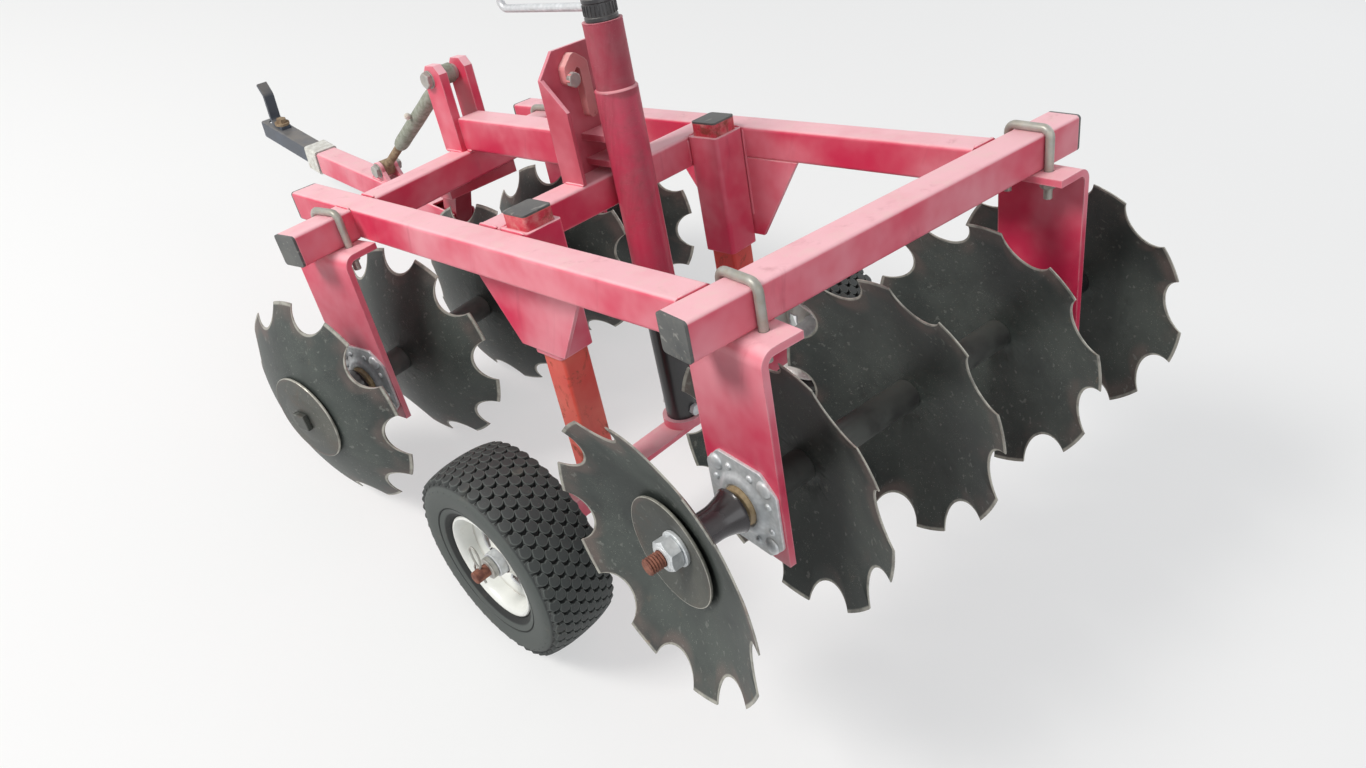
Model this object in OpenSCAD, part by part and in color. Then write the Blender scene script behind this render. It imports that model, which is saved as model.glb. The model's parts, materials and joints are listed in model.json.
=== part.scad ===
// Offset disc harrow for a small tractor, parked on its two wheels and its front right disc.
// Millimetres. X is to the right, Y is forward, Z is up.
// Every piece is drawn level in frame coordinates: x = 0 midway between the rails, y = 0 between
// the gangs and z = 0 at the top of the frame tubes. stand() then tips it nose down as it parks.

/* [Frame] */
// Side of the square frame tubes
tube = 50.8; // [45:0.1:60]
// Wall of the square tubes
tube_wall = 4; // [2:0.5:6]
// Clear distance between the two rails
rail_gap = 447; // [430:1:470]
// Distance of each gang beam from the middle of the frame
beam_y = 431; // [415:1:470]
// Angle of the gangs to straight across
gang_angle = 8.42; // [6:0.01:10]
// Gang beam length past the middle, short end
beam_short = 303; // [295:1:310]
// Gang beam length past the middle, long end
beam_long = 387; // [380:1:420]
// Front end of the rails
rail_front = 583; // [560:1:640]
// Centre of the middle cross beam
middle_beam_y = 51.4; // [40:0.1:60]
// Thickness of the plastic end caps outside the tube
cap_lip = 4; // [2:0.5:8]
// Depth of an end cap's plug inside the tube
cap_plug = 14; // [6:1:30]
// Gap between a plug and the tube wall
cap_gap = 0.3; // [0.1:0.1:0.5]

/* [Tower and masts] */
// Offset of the spine, the masts and the drawbar to the right
spine_x = 15; // [12:1:18]
// Height of the top spine tube
spine_height = 58; // [50:1:64]
// Offset of the tower and the jack to the right
tower_x = 8; // [0:1:14]
// Width of the tower channel
tower_width = 143; // [130:1:160]
// Height of the tower above the frame
tower_height = 185; // [170:1:210]
// Depth of the tower channel
tower_depth = 50; // [40:1:60]
// Height of the tower's side flanges at their free edge
tower_knee = 108; // [90:1:120]
// Plate thickness of the tower
tower_plate = 6; // [4:0.5:8]
// Height of the turnbuckle masts
mast_height = 150; // [145:1:165]
// Thickness of each mast
mast_thickness = 16; // [12:1:17]
// Width of each mast, along the machine
mast_width = 54; // [50:1:58]
// Height of the turnbuckle's upper pin
mast_pin_z = 127; // [122:1:132]

/* [Lift legs] */
// Side of the square sleeves
sleeve = 63.5; // [60:0.5:66]
// Length of the sleeves down from the top of the frame
sleeve_length = 198; // [188:1:215]
// Side of the square legs
leg = 50; // [46:0.5:52]
// Gap between a leg and its sleeve
leg_gap = 0.1; // [0.05:0.05:0.3]
// Height of the leg's top above the frame
leg_top = 20; // [12:1:30]
// Thickness of the gusset plates
gusset_plate = 6; // [4:0.5:10]
// Depth of the gussets below the rails
gusset_drop = 135; // [120:1:140]
// Width of the flat bar between the legs
foot_bar_width = 50; // [45:1:60]
// Thickness of the flat bar between the legs
foot_bar_thickness = 9; // [6:0.5:14]

/* [Jack] */
// Outside diameter of the jack's outer tube
jack_tube = 63.5; // [60:0.5:66]
// Wall of the jack's tubes
jack_wall = 3.2; // [2.5:0.1:4]
// Radial gap between the jack's tubes
jack_gap = 0.06; // [0.04:0.01:0.1]
// Top of the jack's outer tube
jack_tube_top = 125; // [115:1:140]
// Bottom of the jack's outer tube
jack_tube_bottom = -205; // [-220:1:-190]
// Diameter of the jack's upper housing
jack_head = 57; // [50:1:60]
// Top of the jack's upper housing
jack_head_top = 218; // [205:1:230]
// Length of the crank arm
crank_reach = 228; // [180:1:260]
// Diameter of the crank's bar
crank_bar = 12; // [10:0.5:16]

/* [Wheels] */
// Radius of the tyres
tyre_radius = 165; // [150:1:172]
// Width of the tyres
tyre_width = 125; // [110:1:130]
// Height of the wheel axle below the frame's top
axle_drop = 460; // [455:1:480]
// Distance of each tyre's middle from the machine's middle
wheel_x = 374.5; // [368:0.5:390]
// Diameter of the wheel spindles
spindle = 19; // [16:0.5:25]
// Side of the square arms that carry the spindles
arm = 40; // [34:1:44]
// Radius of the rim's flanges
rim_radius = 89; // [84:1:95]
// Radial gap between a hub and its spindle
hub_gap = 0.06; // [0.04:0.01:0.1]

/* [Disc gangs] */
// Radius of the discs
disc_radius = 189; // [180:1:192]
// Dish depth of the discs
disc_dish = 48; // [40:1:52]
// Thickness of the discs
disc_plate = 4; // [3:0.5:6]
// Number of notches around a disc
notches = 9; // [8:1:10]
// Radius of each notch
notch_radius = 41; // [36:1:44]
// Spacing of the discs along a gang
disc_pitch = 200.65; // [196:0.05:206]
// Place of the first disc's middle along the gang
first_disc = -352.5; // [-356:0.5:-350]
// How far the front gang's discs sit out from the rear gang's mirror image
front_gang_shift = 25; // [15:1:30]
// Depth of the gang axis below the frame's top
gang_drop = 284.5; // [280:0.5:295]
// Outer face of the inner hanger along the gang
hanger_short = 250.5; // [246:0.5:256]
// Outer face of the outer hanger along the gang
hanger_long = 349.5; // [344:0.5:354]
// Plate thickness of the hangers
hanger_plate = 10; // [8:0.5:12]
// Width of the hangers
hanger_width = 135; // [132:1:150]
// Bottom of the hangers below the frame's top
hanger_drop = 352; // [350:1:365]
// Length of a hanger's foot along its beam
hanger_foot = 64; // [58:1:90]
// Outside bend radius of the hangers
hanger_bend = 20; // [14:1:26]
// Diameter of the U bolts
u_bolt = 12; // [10:0.5:14]
// Side of the bearing plates
bearing_side = 128; // [120:1:131]
// Thickness of the bearing plates
bearing_plate = 4; // [3:0.5:6]
// Diameter of the journals that turn in the bearings
journal = 35; // [30:0.5:40]
// Radial gap between a journal and its bearing
journal_gap = 0.05; // [0.03:0.01:0.1]
// Diameter of the bolt through each gang
gang_bolt = 22; // [18:0.5:26]
// Diameter of the spools between the discs
spool = 44; // [40:0.5:50]

/* [Drawbar] */
// Place of the drawbar's hinge along the machine
hinge_y = 566; // [562:1:572]
// Height of the drawbar's hinge
hinge_z = -163; // [-168:1:-158]
// Upward slope of the drawbar in the frame
drawbar_slope = 7.5; // [6:0.1:9]
// Length of the drawbar's square tube past its hinge
drawbar_length = 520; // [490:1:560]
// Side of the drawbar's tongue
tongue = 42.2; // [36:0.1:42.4]
// Length of the tongue ahead of the drawbar's tube
tongue_reach = 272; // [260:1:290]
// Extra upward slope of the tongue
tongue_rise = 5.5; // [3:0.1:6.5]
// Length of the white collar around the tongue
collar_length = 47; // [30:1:60]
// Distance of the turnbuckle's lower pin ahead of the hinge
ear_reach = 247; // [235:1:260]
// Height of the turnbuckle's lower pin above the drawbar's top
ear_height = 24; // [20:1:30]
// Diameter of the turnbuckle's barrel
barrel = 26; // [20:0.5:30]
// Diameter of the turnbuckle's rods
rod = 16; // [12:0.5:18]
// Outside diameter of the turnbuckle's eyes
eye = 34; // [30:1:38]
// Thickness of the turnbuckle's eyes
eye_width = 22; // [16:1:24]
// Diameter of the hinge and turnbuckle pins
pin = 16; // [12:0.5:18]
// Radial clearance of the pins in their eyes
pin_gap = 0.1; // [0.05:0.05:0.2]
// Diameter of the hitch hole through the tongue
hitch_hole = 20; // [16:0.5:24]
// Height of the hitch strap above the tongue
strap_height = 110; // [95:1:120]

/* [Hidden] */
$fn = 96;
far = 2000;

// Frame
half_tube = tube / 2;
tube_corner = tube * 0.11;
rail_inner = rail_gap / 2;
rail_x = rail_inner + half_tube;
middle_rear = middle_beam_y - half_tube;
middle_front = middle_beam_y + half_tube;

// Lift legs: the sleeves fill the corner between the rails and the middle beam
leg_x = rail_inner - sleeve / 2;
leg_y = middle_rear - sleeve / 2;
leg_bore = leg + 2 * leg_gap;
leg_bottom = axle_drop + arm / 2 + 5;
foot_bar_top = -axle_drop + 8;
arm_inner = leg_x + leg / 2;
arm_outer = wheel_x - tyre_width / 2 - 28;

// Jack
jack_y = middle_rear - jack_tube / 2 - 0.3;
jack_inner_radius = jack_tube / 2 - jack_wall - jack_gap;
jack_inner_top = jack_tube_bottom + 110;
jack_bolt_z = foot_bar_top + 30;
crank_hub = 24;
crank_hub_height = 31;
crank_post = 95;
grip_rise = 22;
grip_length = 90;
grip = 14;

// Wheels
tyre_side = tyre_width / 2;
wheel_bead = rim_radius - 12;
hub_radius = spindle / 2 + 12;
hub_side = tyre_side - 18;
rim_flange = tyre_side - 17;
rim_wall = 3;

// Gangs
gang_z = -gang_drop;
dish_radius = (disc_radius * disc_radius + disc_dish * disc_dish) / (2 * disc_dish);
disc_count = 5;
disc_places = [for (i = [0:disc_count - 1]) first_disc + i * disc_pitch];
front_disc_places = [for (x = disc_places) x + front_gang_shift];
disc_flat = 38;
notch_centre_out = 8;
// How far each disc is turned on its bolt, from the short end
rear_turns = [1.8, 18.3, 37.8, 2.9, 21.5];
front_turns = [36.8, 24, 12, 29.1, 35.6];
last_disc = disc_places[disc_count - 1];
bearing_housing = 12;
bearing_out = bearing_plate + bearing_housing;
housing_radius = journal / 2 + 15;
hanger_hole = journal / 2 + 10;
bell = 62;
bell_length = 34;
running = 5;
open_gap = 2;
foot_length = hanger_foot;
u_bolt_reach = hanger_plate + 29;
u_bolt_half = half_tube + u_bolt / 2 + 0.5;
u_bolt_thread = 30;
cup_radius = 75;
cup_depth = 13;
back_cup_depth = 4;
cup_plate = 4;
cup_flat = 28;
head_side = 28;
head_height = 9;
end_washer = 24;
end_washer_plate = 5;
thread_out = 24;
nut_af = 36;
nut_height = 17;

// Turnbuckle and drawbar, in the plane x = spine_x
beam_rear_at_spine = beam_y + spine_x * tan(gang_angle) - half_tube / cos(gang_angle);
spine_front = beam_rear_at_spine + 8;
mast_rear = spine_front + 0.2;
mast_pin_y = mast_rear + mast_width * 0.66;
mast_gap = 37;
hitch_plate_thickness = 25.4;
hitch_plate_rear = beam_y;
hitch_plate_width = 150;
lug = tube - 2 * tube_wall - 5;
lug_radius = 19;
tower_strap_depth = 15;
tower_bolt = 19;
ear_along = ear_reach;
ear_up = half_tube + ear_height;
ear_y = hinge_y + ear_along * cos(drawbar_slope) - ear_up * sin(drawbar_slope);
ear_z = hinge_z + ear_along * sin(drawbar_slope) + ear_up * cos(drawbar_slope);
link_dy = ear_y - mast_pin_y;
link_dz = ear_z - mast_pin_z;
link_length = sqrt(link_dy * link_dy + link_dz * link_dz);
link_fall = atan2(-link_dz, link_dy);
barrel_start = 70;
barrel_end = link_length - 110;
ear_plate = 8;
ear_gap = eye_width + 2;
hitch_at = tongue_reach - 22;
strap_plate = 8;
strap_width = 24;
strap_washer = 17;
collar_gap = 5;
collar_side = tube + 5;
tongue_inside = 60;
tongue_overlap = tongue / 2 * tan(tongue_rise) + 0.3;
strap_bolt = tongue_reach - 71;
strap_rear = strap_bolt - 17;
strap_bend = 18;
strap_turn = 40;
strap_low_bend = strap_bolt + 17;
strap_high_bend = strap_low_bend + 2 * strap_bend - strap_plate;
strap_upright = strap_height - 60;

// Parked stance: the wheels and the rim of the front right disc touch the ground
rim_place = disc_plate / 2 - (first_disc + front_gang_shift - disc_dish);
rim_y = beam_y + rim_place * sin(gang_angle);
reach_to_disc = rim_y - leg_y;
rise_to_disc = axle_drop - gang_drop;
rim_sink = disc_radius * sqrt(1 - pow(sin(gang_angle) * sin(16.9), 2));
pitch = atan2(rise_to_disc, reach_to_disc)
    + asin((tyre_radius - rim_sink) / sqrt(reach_to_disc * reach_to_disc + rise_to_disc * rise_to_disc));
stand_z = tyre_radius + leg_y * sin(pitch) + axle_drop * cos(pitch);
// Brings the middle of the parked harrow's box to y = 0
stand_x = 12.36;
stand_y = -270.01;

module stand() {
    translate([stand_x, stand_y, stand_z])
        rotate([-pitch, 0, 0])
            children();
}

// Section of a square tube with rounded corners, drawn around the origin
module square_section(side, corner) {
    flat = side / 2 - corner;
    square([side, 2 * flat], center = true);
    square([2 * flat, side], center = true);
    for (sx = [-1, 1])
        for (sy = [-1, 1])
            translate([sx * flat, sy * flat])
                circle(r = corner, $fn = 32);
}

// Hollow square tube along X from x0 to x1, centred on y = 0 and z = 0
module tube_x(x0, x1, side = tube, wall = tube_wall) {
    corner = side * 0.11;
    translate([x0, 0, 0])
        rotate([90, 0, 90])
            linear_extrude(height = x1 - x0)
                difference() {
                    square_section(side, corner);
                    square_section(side - 2 * wall, corner - wall / 2);
                }
}

module tube_y(y0, y1, side = tube, wall = tube_wall) {
    rotate([0, 0, 90])
        tube_x(y0, y1, side, wall);
}

module tube_z(z0, z1, side = tube, wall = tube_wall) {
    rotate([0, -90, 0])
        tube_x(z0, z1, side, wall);
}

// Plastic cap on a tube end at the origin, with the tube on its -X side
module end_cap(side = tube, wall = tube_wall, lip = cap_lip) {
    corner = side * 0.11;
    rotate([90, 0, 90])
        linear_extrude(height = lip)
            square_section(side, corner);
    translate([-cap_plug, 0, 0])
        rotate([90, 0, 90])
            linear_extrude(height = cap_plug)
                square_section(side - 2 * wall - 2 * cap_gap, corner - wall / 2);
}

// Cylinder along X from x0 to x1
module rod_x(r, x0, x1) {
    translate([x0, 0, 0])
        rotate([0, 90, 0])
            cylinder(r = r, h = x1 - x0);
}

// Hexagon along X from x0 to x1, af across its flats
module hex_x(af, x0, x1) {
    translate([x0, 0, 0])
        rotate([0, 90, 0])
            cylinder(r = af / sqrt(3), h = x1 - x0, $fn = 6);
}

// The rear gang's beam runs along its local X, with the short end at -X
module rear_gang() {
    translate([0, -beam_y, 0])
        rotate([0, 0, -gang_angle])
            children();
}

// The front gang is the rear one seen in a mirror, moved to the front
module front_gang() {
    translate([0, beam_y, 0])
        rotate([0, 0, gang_angle])
            mirror([1, 0, 0])
                children();
}

module rail_blank(side) {
    translate([side * rail_x, 0, -half_tube])
        tube_y(-far / 2, rail_front);
}

module rail(side) {
    difference() {
        rail_blank(side);
        rear_gang()
            translate([-far, -far + half_tube, -far / 2])
                cube([2 * far, far, far]);
    }
}

module rail_left() {
    color([0.72, 0.10, 0.16]) stand() rail(-1);
}

module rail_right() {
    color([0.72, 0.10, 0.16]) stand() rail(1);
}

module gang_beam() {
    translate([0, 0, -half_tube])
        tube_x(-beam_short, beam_long);
}

module rear_beam() {
    color([0.75, 0.12, 0.18]) stand() rear_gang() gang_beam();
}

// The front beam is in three lengths, welded between and outside the rails
module front_beam() {
    color([0.75, 0.12, 0.18]) stand()
        difference() {
            front_gang() gang_beam();
            for (side = [-1, 1])
                translate([side * rail_x - half_tube, -far / 2, -tube - 1])
                    cube([tube, far, tube + 2]);
        }
}

module middle_beam() {
    color([0.75, 0.12, 0.18]) stand()
        translate([0, middle_beam_y, -half_tube])
            tube_x(-rail_inner, rail_inner);
}

module beam_cap_pair() {
    translate([beam_long, 0, -half_tube])
        end_cap();
    translate([-beam_short, 0, -half_tube])
        mirror([1, 0, 0])
            end_cap();
}

module tube_caps() {
    color([0.25, 0.26, 0.27]) stand() {
        rear_gang() beam_cap_pair();
        front_gang() beam_cap_pair();
        for (side = [-1, 1])
            translate([side * rail_x, rail_front, -half_tube])
                rotate([0, 0, 90])
                    end_cap();
    }
}

module sleeves() {
    color([0.70, 0.10, 0.15]) stand()
        for (side = [-1, 1])
            translate([side * leg_x, leg_y, 0])
                difference() {
                    tube_z(-sleeve_length, 0, sleeve, (sleeve - leg_bore) / 2);
                }
}

module gusset(side) {
    top_half = 136;
    foot_half = 50;
    middle = -5.5;
    points = [[middle - top_half, -tube], [middle + top_half, -tube],
        [middle + foot_half, -tube - gusset_drop], [middle - foot_half, -tube - gusset_drop]];
    translate([side > 0 ? rail_inner : -rail_inner - gusset_plate, 0, 0])
        rotate([90, 0, 90])
            linear_extrude(height = gusset_plate)
                polygon(points);
}

module gussets() {
    color([0.78, 0.14, 0.20]) stand() {
        gusset(-1);
        gusset(1);
    }
}

module spine() {
    color([0.75, 0.12, 0.18]) stand()
        translate([spine_x, 0, spine_height / 2])
            rotate([0, 0, 90])
                translate([middle_front, 0, 0])
                    rotate([90, 0, 90])
                        linear_extrude(height = spine_front - middle_front)
                            difference() {
                                spine_section(0);
                                spine_section(tube_wall);
                            }
}

module spine_section(inset) {
    w = tube - 2 * inset;
    h = spine_height - 2 * inset;
    r = tube_corner - inset / 2;
    square([w, h - 2 * r], center = true);
    square([w - 2 * r, h], center = true);
    for (sx = [-1, 1])
        for (sy = [-1, 1])
            translate([sx * (w / 2 - r), sy * (h / 2 - r)])
                circle(r = r, $fn = 32);
}

module masts() {
    low = mast_height - 40;
    color([0.75, 0.12, 0.18]) stand()
        for (side = [-1, 1])
            translate([spine_x + side * (mast_gap + mast_thickness) / 2 - mast_thickness / 2, 0, 0])
                difference() {
                    rotate([90, 0, 90])
                        linear_extrude(height = mast_thickness)
                            difference() {
                                polygon([[mast_rear, 0], [mast_rear + mast_width, 0],
                                    [mast_rear + mast_width, low + 22], [mast_rear + mast_width - 16, mast_height],
                                    [mast_rear + 12, mast_height], [mast_rear, mast_height - 14]]);
                                translate([mast_pin_y, mast_pin_z])
                                    circle(r = pin / 2 + pin_gap);
                            }
                }
}

module tower() {
    half = tower_width / 2;
    rear = middle_front - tower_depth;
    color([0.62, 0.08, 0.13]) stand()
        translate([tower_x, 0, 0]) {
            translate([0, middle_front, 0])
                rotate([90, 0, 0])
                    linear_extrude(height = tower_plate)
                        polygon([[-half, 0], [half, 0], [half, tower_height - 33], [half - 31, tower_height],
                            [31 - half, tower_height], [-half, tower_height - 33]]);
            for (side = [-1, 1])
                translate([side > 0 ? half - tower_plate : -half, 0, 0])
                    rotate([90, 0, 90])
                        linear_extrude(height = tower_plate)
                            polygon([[rear, 0], [middle_front - tower_plate, 0],
                                [middle_front - tower_plate, tower_height - 33], [rear, tower_knee]]);
        }
}

module jack_bracket() {
    front = middle_front - tower_plate;
    color([0.70, 0.10, 0.15]) stand()
        difference() {
            for (z = [12, 50])
                translate([tower_x - 22, jack_y, z])
                    cube([44, front - jack_y, 10]);
            translate([tower_x, jack_y, -1])
                cylinder(r = jack_tube / 2, h = far);
        }
}

module jack_tube() {
    color([0.74, 0.12, 0.17]) stand()
        translate([tower_x, jack_y, 0]) {
            difference() {
                translate([0, 0, jack_tube_bottom])
                    cylinder(r = jack_tube / 2, h = jack_tube_top - jack_tube_bottom);
                translate([0, 0, jack_tube_bottom - 1])
                    cylinder(r = jack_tube / 2 - jack_wall, h = jack_tube_top - jack_tube_bottom - 7);
            }
            translate([0, 0, jack_tube_top])
                cylinder(r = jack_head / 2, h = jack_head_top - jack_tube_top);
        }
}

module jack_crank() {
    z = jack_head_top + crank_hub_height * 0.55;
    color([0.70, 0.71, 0.72]) stand()
        translate([tower_x, jack_y, 0]) {
            difference() {
                translate([0, 0, jack_head_top])
                    cylinder(r = crank_hub, h = crank_hub_height);
                translate([0, 0, z])
                    rotate([-90, 0, 0])
                        cylinder(r = crank_bar / 2, h = 60);
            }
            translate([0, 0, z])
                rotate([-90, 0, 0])
                    cylinder(r = crank_bar / 2, h = crank_reach);
            translate([0, crank_reach, z])
                sphere(r = crank_bar / 2);
            translate([0, crank_reach, z])
                cylinder(r = crank_bar / 2, h = crank_post);
            translate([0, crank_reach, z + grip_rise])
                cylinder(r = grip, h = grip_length);
        }
}

// Hanger in the rear gang's coordinates, its outer face at x = -hanger_short or hanger_long
module hanger_profile() {
    inner = hanger_bend - hanger_plate;
    difference() {
        union() {
            square([hanger_plate, hanger_drop - tube - hanger_bend]);
            translate([hanger_bend, hanger_drop - tube - hanger_plate])
                square([foot_length - hanger_bend, hanger_plate]);
            translate([hanger_bend, hanger_drop - tube - hanger_bend])
                intersection() {
                    difference() {
                        circle(r = hanger_bend);
                        circle(r = inner);
                    }
                    translate([-hanger_bend, 0])
                        square([hanger_bend, hanger_bend]);
                }
        }
    }
}

module hanger() {
    difference() {
        translate([0, hanger_width / 2, -hanger_drop])
            rotate([90, 0, 0])
                linear_extrude(height = hanger_width)
                    hanger_profile();
        translate([-1, 0, gang_z])
            rotate([0, 90, 0])
                cylinder(r = hanger_hole, h = hanger_plate + 2);
        for (t = [-1, 1])
            translate([u_bolt_reach, t * u_bolt_half, -tube - hanger_plate - 1])
                cylinder(r = u_bolt / 2 + 0.5, h = hanger_plate + 2);
    }
}

module hanger_places() {
    translate([-hanger_short, 0, 0])
        children();
    translate([hanger_long, 0, 0])
        mirror([1, 0, 0])
            children();
}

module rear_hangers() {
    color([0.78, 0.14, 0.20]) stand() rear_gang() hanger_places() hanger();
}

module front_hangers() {
    color([0.78, 0.14, 0.20]) stand() front_gang() hanger_places() hanger();
}

// U bolt over the beam and down through the hanger's foot, with a nut under it on each side
module u_bolt_set() {
    r = u_bolt / 2;
    bend = u_bolt_half - half_tube + tube_corner;
    top = r + 0.3;
    turn = 10;
    bottom = -tube - hanger_plate - u_bolt_thread;
    translate([u_bolt_reach, 0, 0]) {
        for (t = [-1, 1]) {
            translate([0, t * u_bolt_half, bottom])
                cylinder(r = r, h = top - turn - bottom);
            translate([0, t * (u_bolt_half - turn), top - turn])
                rotate([0, 0, t * 90])
                    rotate([90, 0, 0])
                        rotate_extrude(angle = 90, $fn = 48)
                            translate([turn, 0])
                                circle(r = r);
            translate([0, t * u_bolt_half, -tube - hanger_plate - 2.5])
                difference() {
                    cylinder(r = 12, h = 2.5);
                    translate([0, 0, -1])
                        cylinder(r = r, h = 5);
                }
            translate([0, t * u_bolt_half, -tube - hanger_plate - 13.5])
                difference() {
                    cylinder(r = 19 / sqrt(3), h = 11, $fn = 6);
                    translate([0, 0, -1])
                        cylinder(r = r, h = 13);
                }
        }
        translate([0, u_bolt_half - turn, top])
            rotate([90, 0, 0])
                cylinder(r = r, h = 2 * (u_bolt_half - turn));
    }
}

module u_bolts() {
    color([0.76, 0.77, 0.78]) stand() {
        rear_gang() hanger_places() u_bolt_set();
        front_gang() hanger_places() u_bolt_set();
    }
}

// Pressed bearing plate on a hanger's outer face, at x = 0, bulging towards -X
module bearing_flange() {
    half = bearing_side / 2;
    cut = 25;
    translate([0, 0, gang_z])
        difference() {
            union() {
                translate([-bearing_plate, 0, 0])
                    rotate([90, 0, 90])
                        linear_extrude(height = bearing_plate)
                            polygon([[-half + cut, -half], [half - cut, -half], [half, -half + cut],
                                [half, half - cut], [half - cut, half], [-half + cut, half],
                                [-half, half - cut], [-half, -half + cut]]);
                rod_x(housing_radius, -bearing_out, -bearing_plate);
                for (a = [45:90:315])
                    rotate([a, 0, 0])
                        translate([0, 0, half - 4])
                            rod_x(8, -bearing_plate - 6, -bearing_plate);
            }
            rod_x(journal / 2 + journal_gap, -bearing_out - 1, 1);
        }
}

module bearing_flanges() {
    color([0.70, 0.71, 0.70]) stand() {
        rear_gang() hanger_places() bearing_flange();
        front_gang() hanger_places() bearing_flange();
    }
}

// Dished disc with its middle at x = 0 and its rim towards -X
module disc_blade() {
    difference() {
        rotate([0, 90, 0])
            rotate_extrude($fn = 128) {
                translate([gang_bolt / 2 + 0.2, -disc_plate / 2])
                    square([disc_flat - gang_bolt / 2 - 0.2, disc_plate]);
                intersection() {
                    translate([0, -dish_radius])
                        difference() {
                            circle(r = dish_radius + disc_plate / 2, $fn = 360);
                            circle(r = dish_radius - disc_plate / 2, $fn = 360);
                        }
                    translate([disc_flat - 4, -disc_dish - 10])
                        square([disc_radius - disc_flat + 4, disc_dish + 20]);
                }
            }
        for (i = [0:notches - 1])
            rotate([(i + 0.5) * 360 / notches, 0, 0])
                translate([0, 0, disc_radius + notch_centre_out])
                    rod_x(notch_radius, -disc_dish - 20, 0);
    }
}

module gang_discs(places, turns) {
    translate([0, 0, gang_z])
        for (i = [0:disc_count - 1])
            translate([places[i], 0, 0])
                rotate([turns[i], 0, 0])
                    disc_blade();
}

module rear_discs() {
    color([0.30, 0.31, 0.33]) stand() rear_gang() gang_discs(disc_places, rear_turns);
}

module front_discs() {
    color([0.30, 0.31, 0.33]) stand() front_gang() gang_discs(front_disc_places, front_turns);
}

// Spool from x0 to x1 around the gang bolt
module spool_piece(x0, x1, r = spool / 2) {
    difference() {
        rod_x(r, x0, x1);
        rod_x(gang_bolt / 2 + 0.2, x0 - 1, x1 + 1);
    }
}

// Journal through the hanger at face, with its bell on the outer side; dir is the outer direction
module journal_piece(face, dir, disc_face, next_face) {
    a = face + dir * (bearing_out + running);
    b = face - dir * (hanger_plate + running);
    flare = a + dir * bell_length;
    difference() {
        union() {
            rod_x(journal / 2, min(a, b), max(a, b));
            translate([a, 0, 0])
                rotate([0, dir * 90, 0])
                    cylinder(r1 = bell / 2, r2 = spool / 2, h = bell_length);
            rod_x(spool / 2, min(flare, disc_face), max(flare, disc_face));
            rod_x(spool / 2, min(b, next_face), max(b, next_face));
        }
        rod_x(gang_bolt / 2 + 0.2, -far / 2, far / 2);
    }
}

module gang_spools(places) {
    half_plate = disc_plate / 2;
    translate([0, 0, gang_z]) {
        journal_piece(-hanger_short, -1, places[0] + half_plate, places[1] - half_plate);
        journal_piece(hanger_long, 1, places[disc_count - 1] - half_plate, places[3] + half_plate);
        for (i = [1:2])
            spool_piece(places[i] + half_plate, places[i + 1] - half_plate);
    }
}

module rear_spools() {
    color([0.09, 0.09, 0.10]) stand() rear_gang() gang_spools(disc_places);
}

module front_spools() {
    color([0.09, 0.09, 0.10]) stand() front_gang() gang_spools(front_disc_places);
}

// Dished end washer whose back is at x = 0 and whose rim is towards -X
module cup_washer(depth, flat) {
    sphere_radius = (cup_radius * cup_radius + depth * depth) / (2 * depth);
    rotate([0, 90, 0])
        rotate_extrude($fn = 128) {
            translate([gang_bolt / 2 + 0.2, -cup_plate])
                square([flat - gang_bolt / 2 - 0.2, cup_plate]);
            intersection() {
                translate([0, -sphere_radius])
                    difference() {
                        circle(r = sphere_radius, $fn = 360);
                        circle(r = sphere_radius - cup_plate, $fn = 360);
                    }
                translate([flat - 0.5, -depth - 2 * cup_plate])
                    square([cup_radius - flat + 0.5, depth + 2 * cup_plate]);
            }
        }
}

// Through bolt with a dished washer at both ends, its nut at the short end and its square head at the long end
module gang_bolt_set(shift = 0) {
    half_plate = disc_plate / 2;
    cup_face = first_disc - half_plate - cup_plate;
    washer_face = cup_face - end_washer_plate;
    nut_face = washer_face - nut_height;
    head_face = last_disc + half_plate + cup_plate;
    translate([shift, 0, gang_z]) {
        rod_x(gang_bolt / 2, nut_face - thread_out, head_face);
        translate([first_disc - half_plate, 0, 0])
            cup_washer(cup_depth, cup_flat);
        difference() {
            rod_x(end_washer, washer_face, cup_face);
            rod_x(gang_bolt / 2, washer_face - 1, cup_face + 1);
        }
        difference() {
            hex_x(nut_af, nut_face, washer_face);
            rod_x(gang_bolt / 2, nut_face - 1, washer_face + 1);
        }
        translate([head_face, 0, 0])
            cup_washer(back_cup_depth, disc_flat + 2);
        translate([head_face, -head_side / 2, -head_side / 2])
            cube([head_height, head_side, head_side]);
    }
}

module rear_gang_bolt() {
    color([0.55, 0.50, 0.44]) stand() rear_gang() gang_bolt_set();
}

module front_gang_bolt() {
    color([0.55, 0.50, 0.44]) stand() front_gang() gang_bolt_set(front_gang_shift);
}

// Lift: the legs, the flat bar between them and the arms that carry the wheels
module lift_leg(side) {
    translate([side * leg_x, leg_y, 0])
        tube_z(-leg_bottom, leg_top, leg, 4);
}

module leg_left() {
    color([0.80, 0.22, 0.18]) stand() lift_leg(-1);
}

module leg_right() {
    color([0.80, 0.22, 0.18]) stand() lift_leg(1);
}

module leg_caps() {
    color([0.22, 0.22, 0.23]) stand()
        for (side = [-1, 1])
            translate([side * leg_x, leg_y, leg_top])
                rotate([0, -90, 0])
                    end_cap(leg, 4, 3);
}

module foot_bar() {
    inner = leg_x - leg / 2;
    color([0.78, 0.14, 0.20]) stand()
        translate([-inner, jack_y - foot_bar_width / 2, foot_bar_top - foot_bar_thickness])
            cube([2 * inner, foot_bar_width, foot_bar_thickness]);
}

module jack_foot() {
    outer = jack_inner_radius + 8;
    color([0.72, 0.12, 0.17]) stand()
        translate([tower_x, jack_y, foot_bar_top])
            difference() {
                cylinder(r = outer, h = 16);
                translate([0, 0, -1])
                    cylinder(r = jack_inner_radius, h = 18);
            }
}

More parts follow.
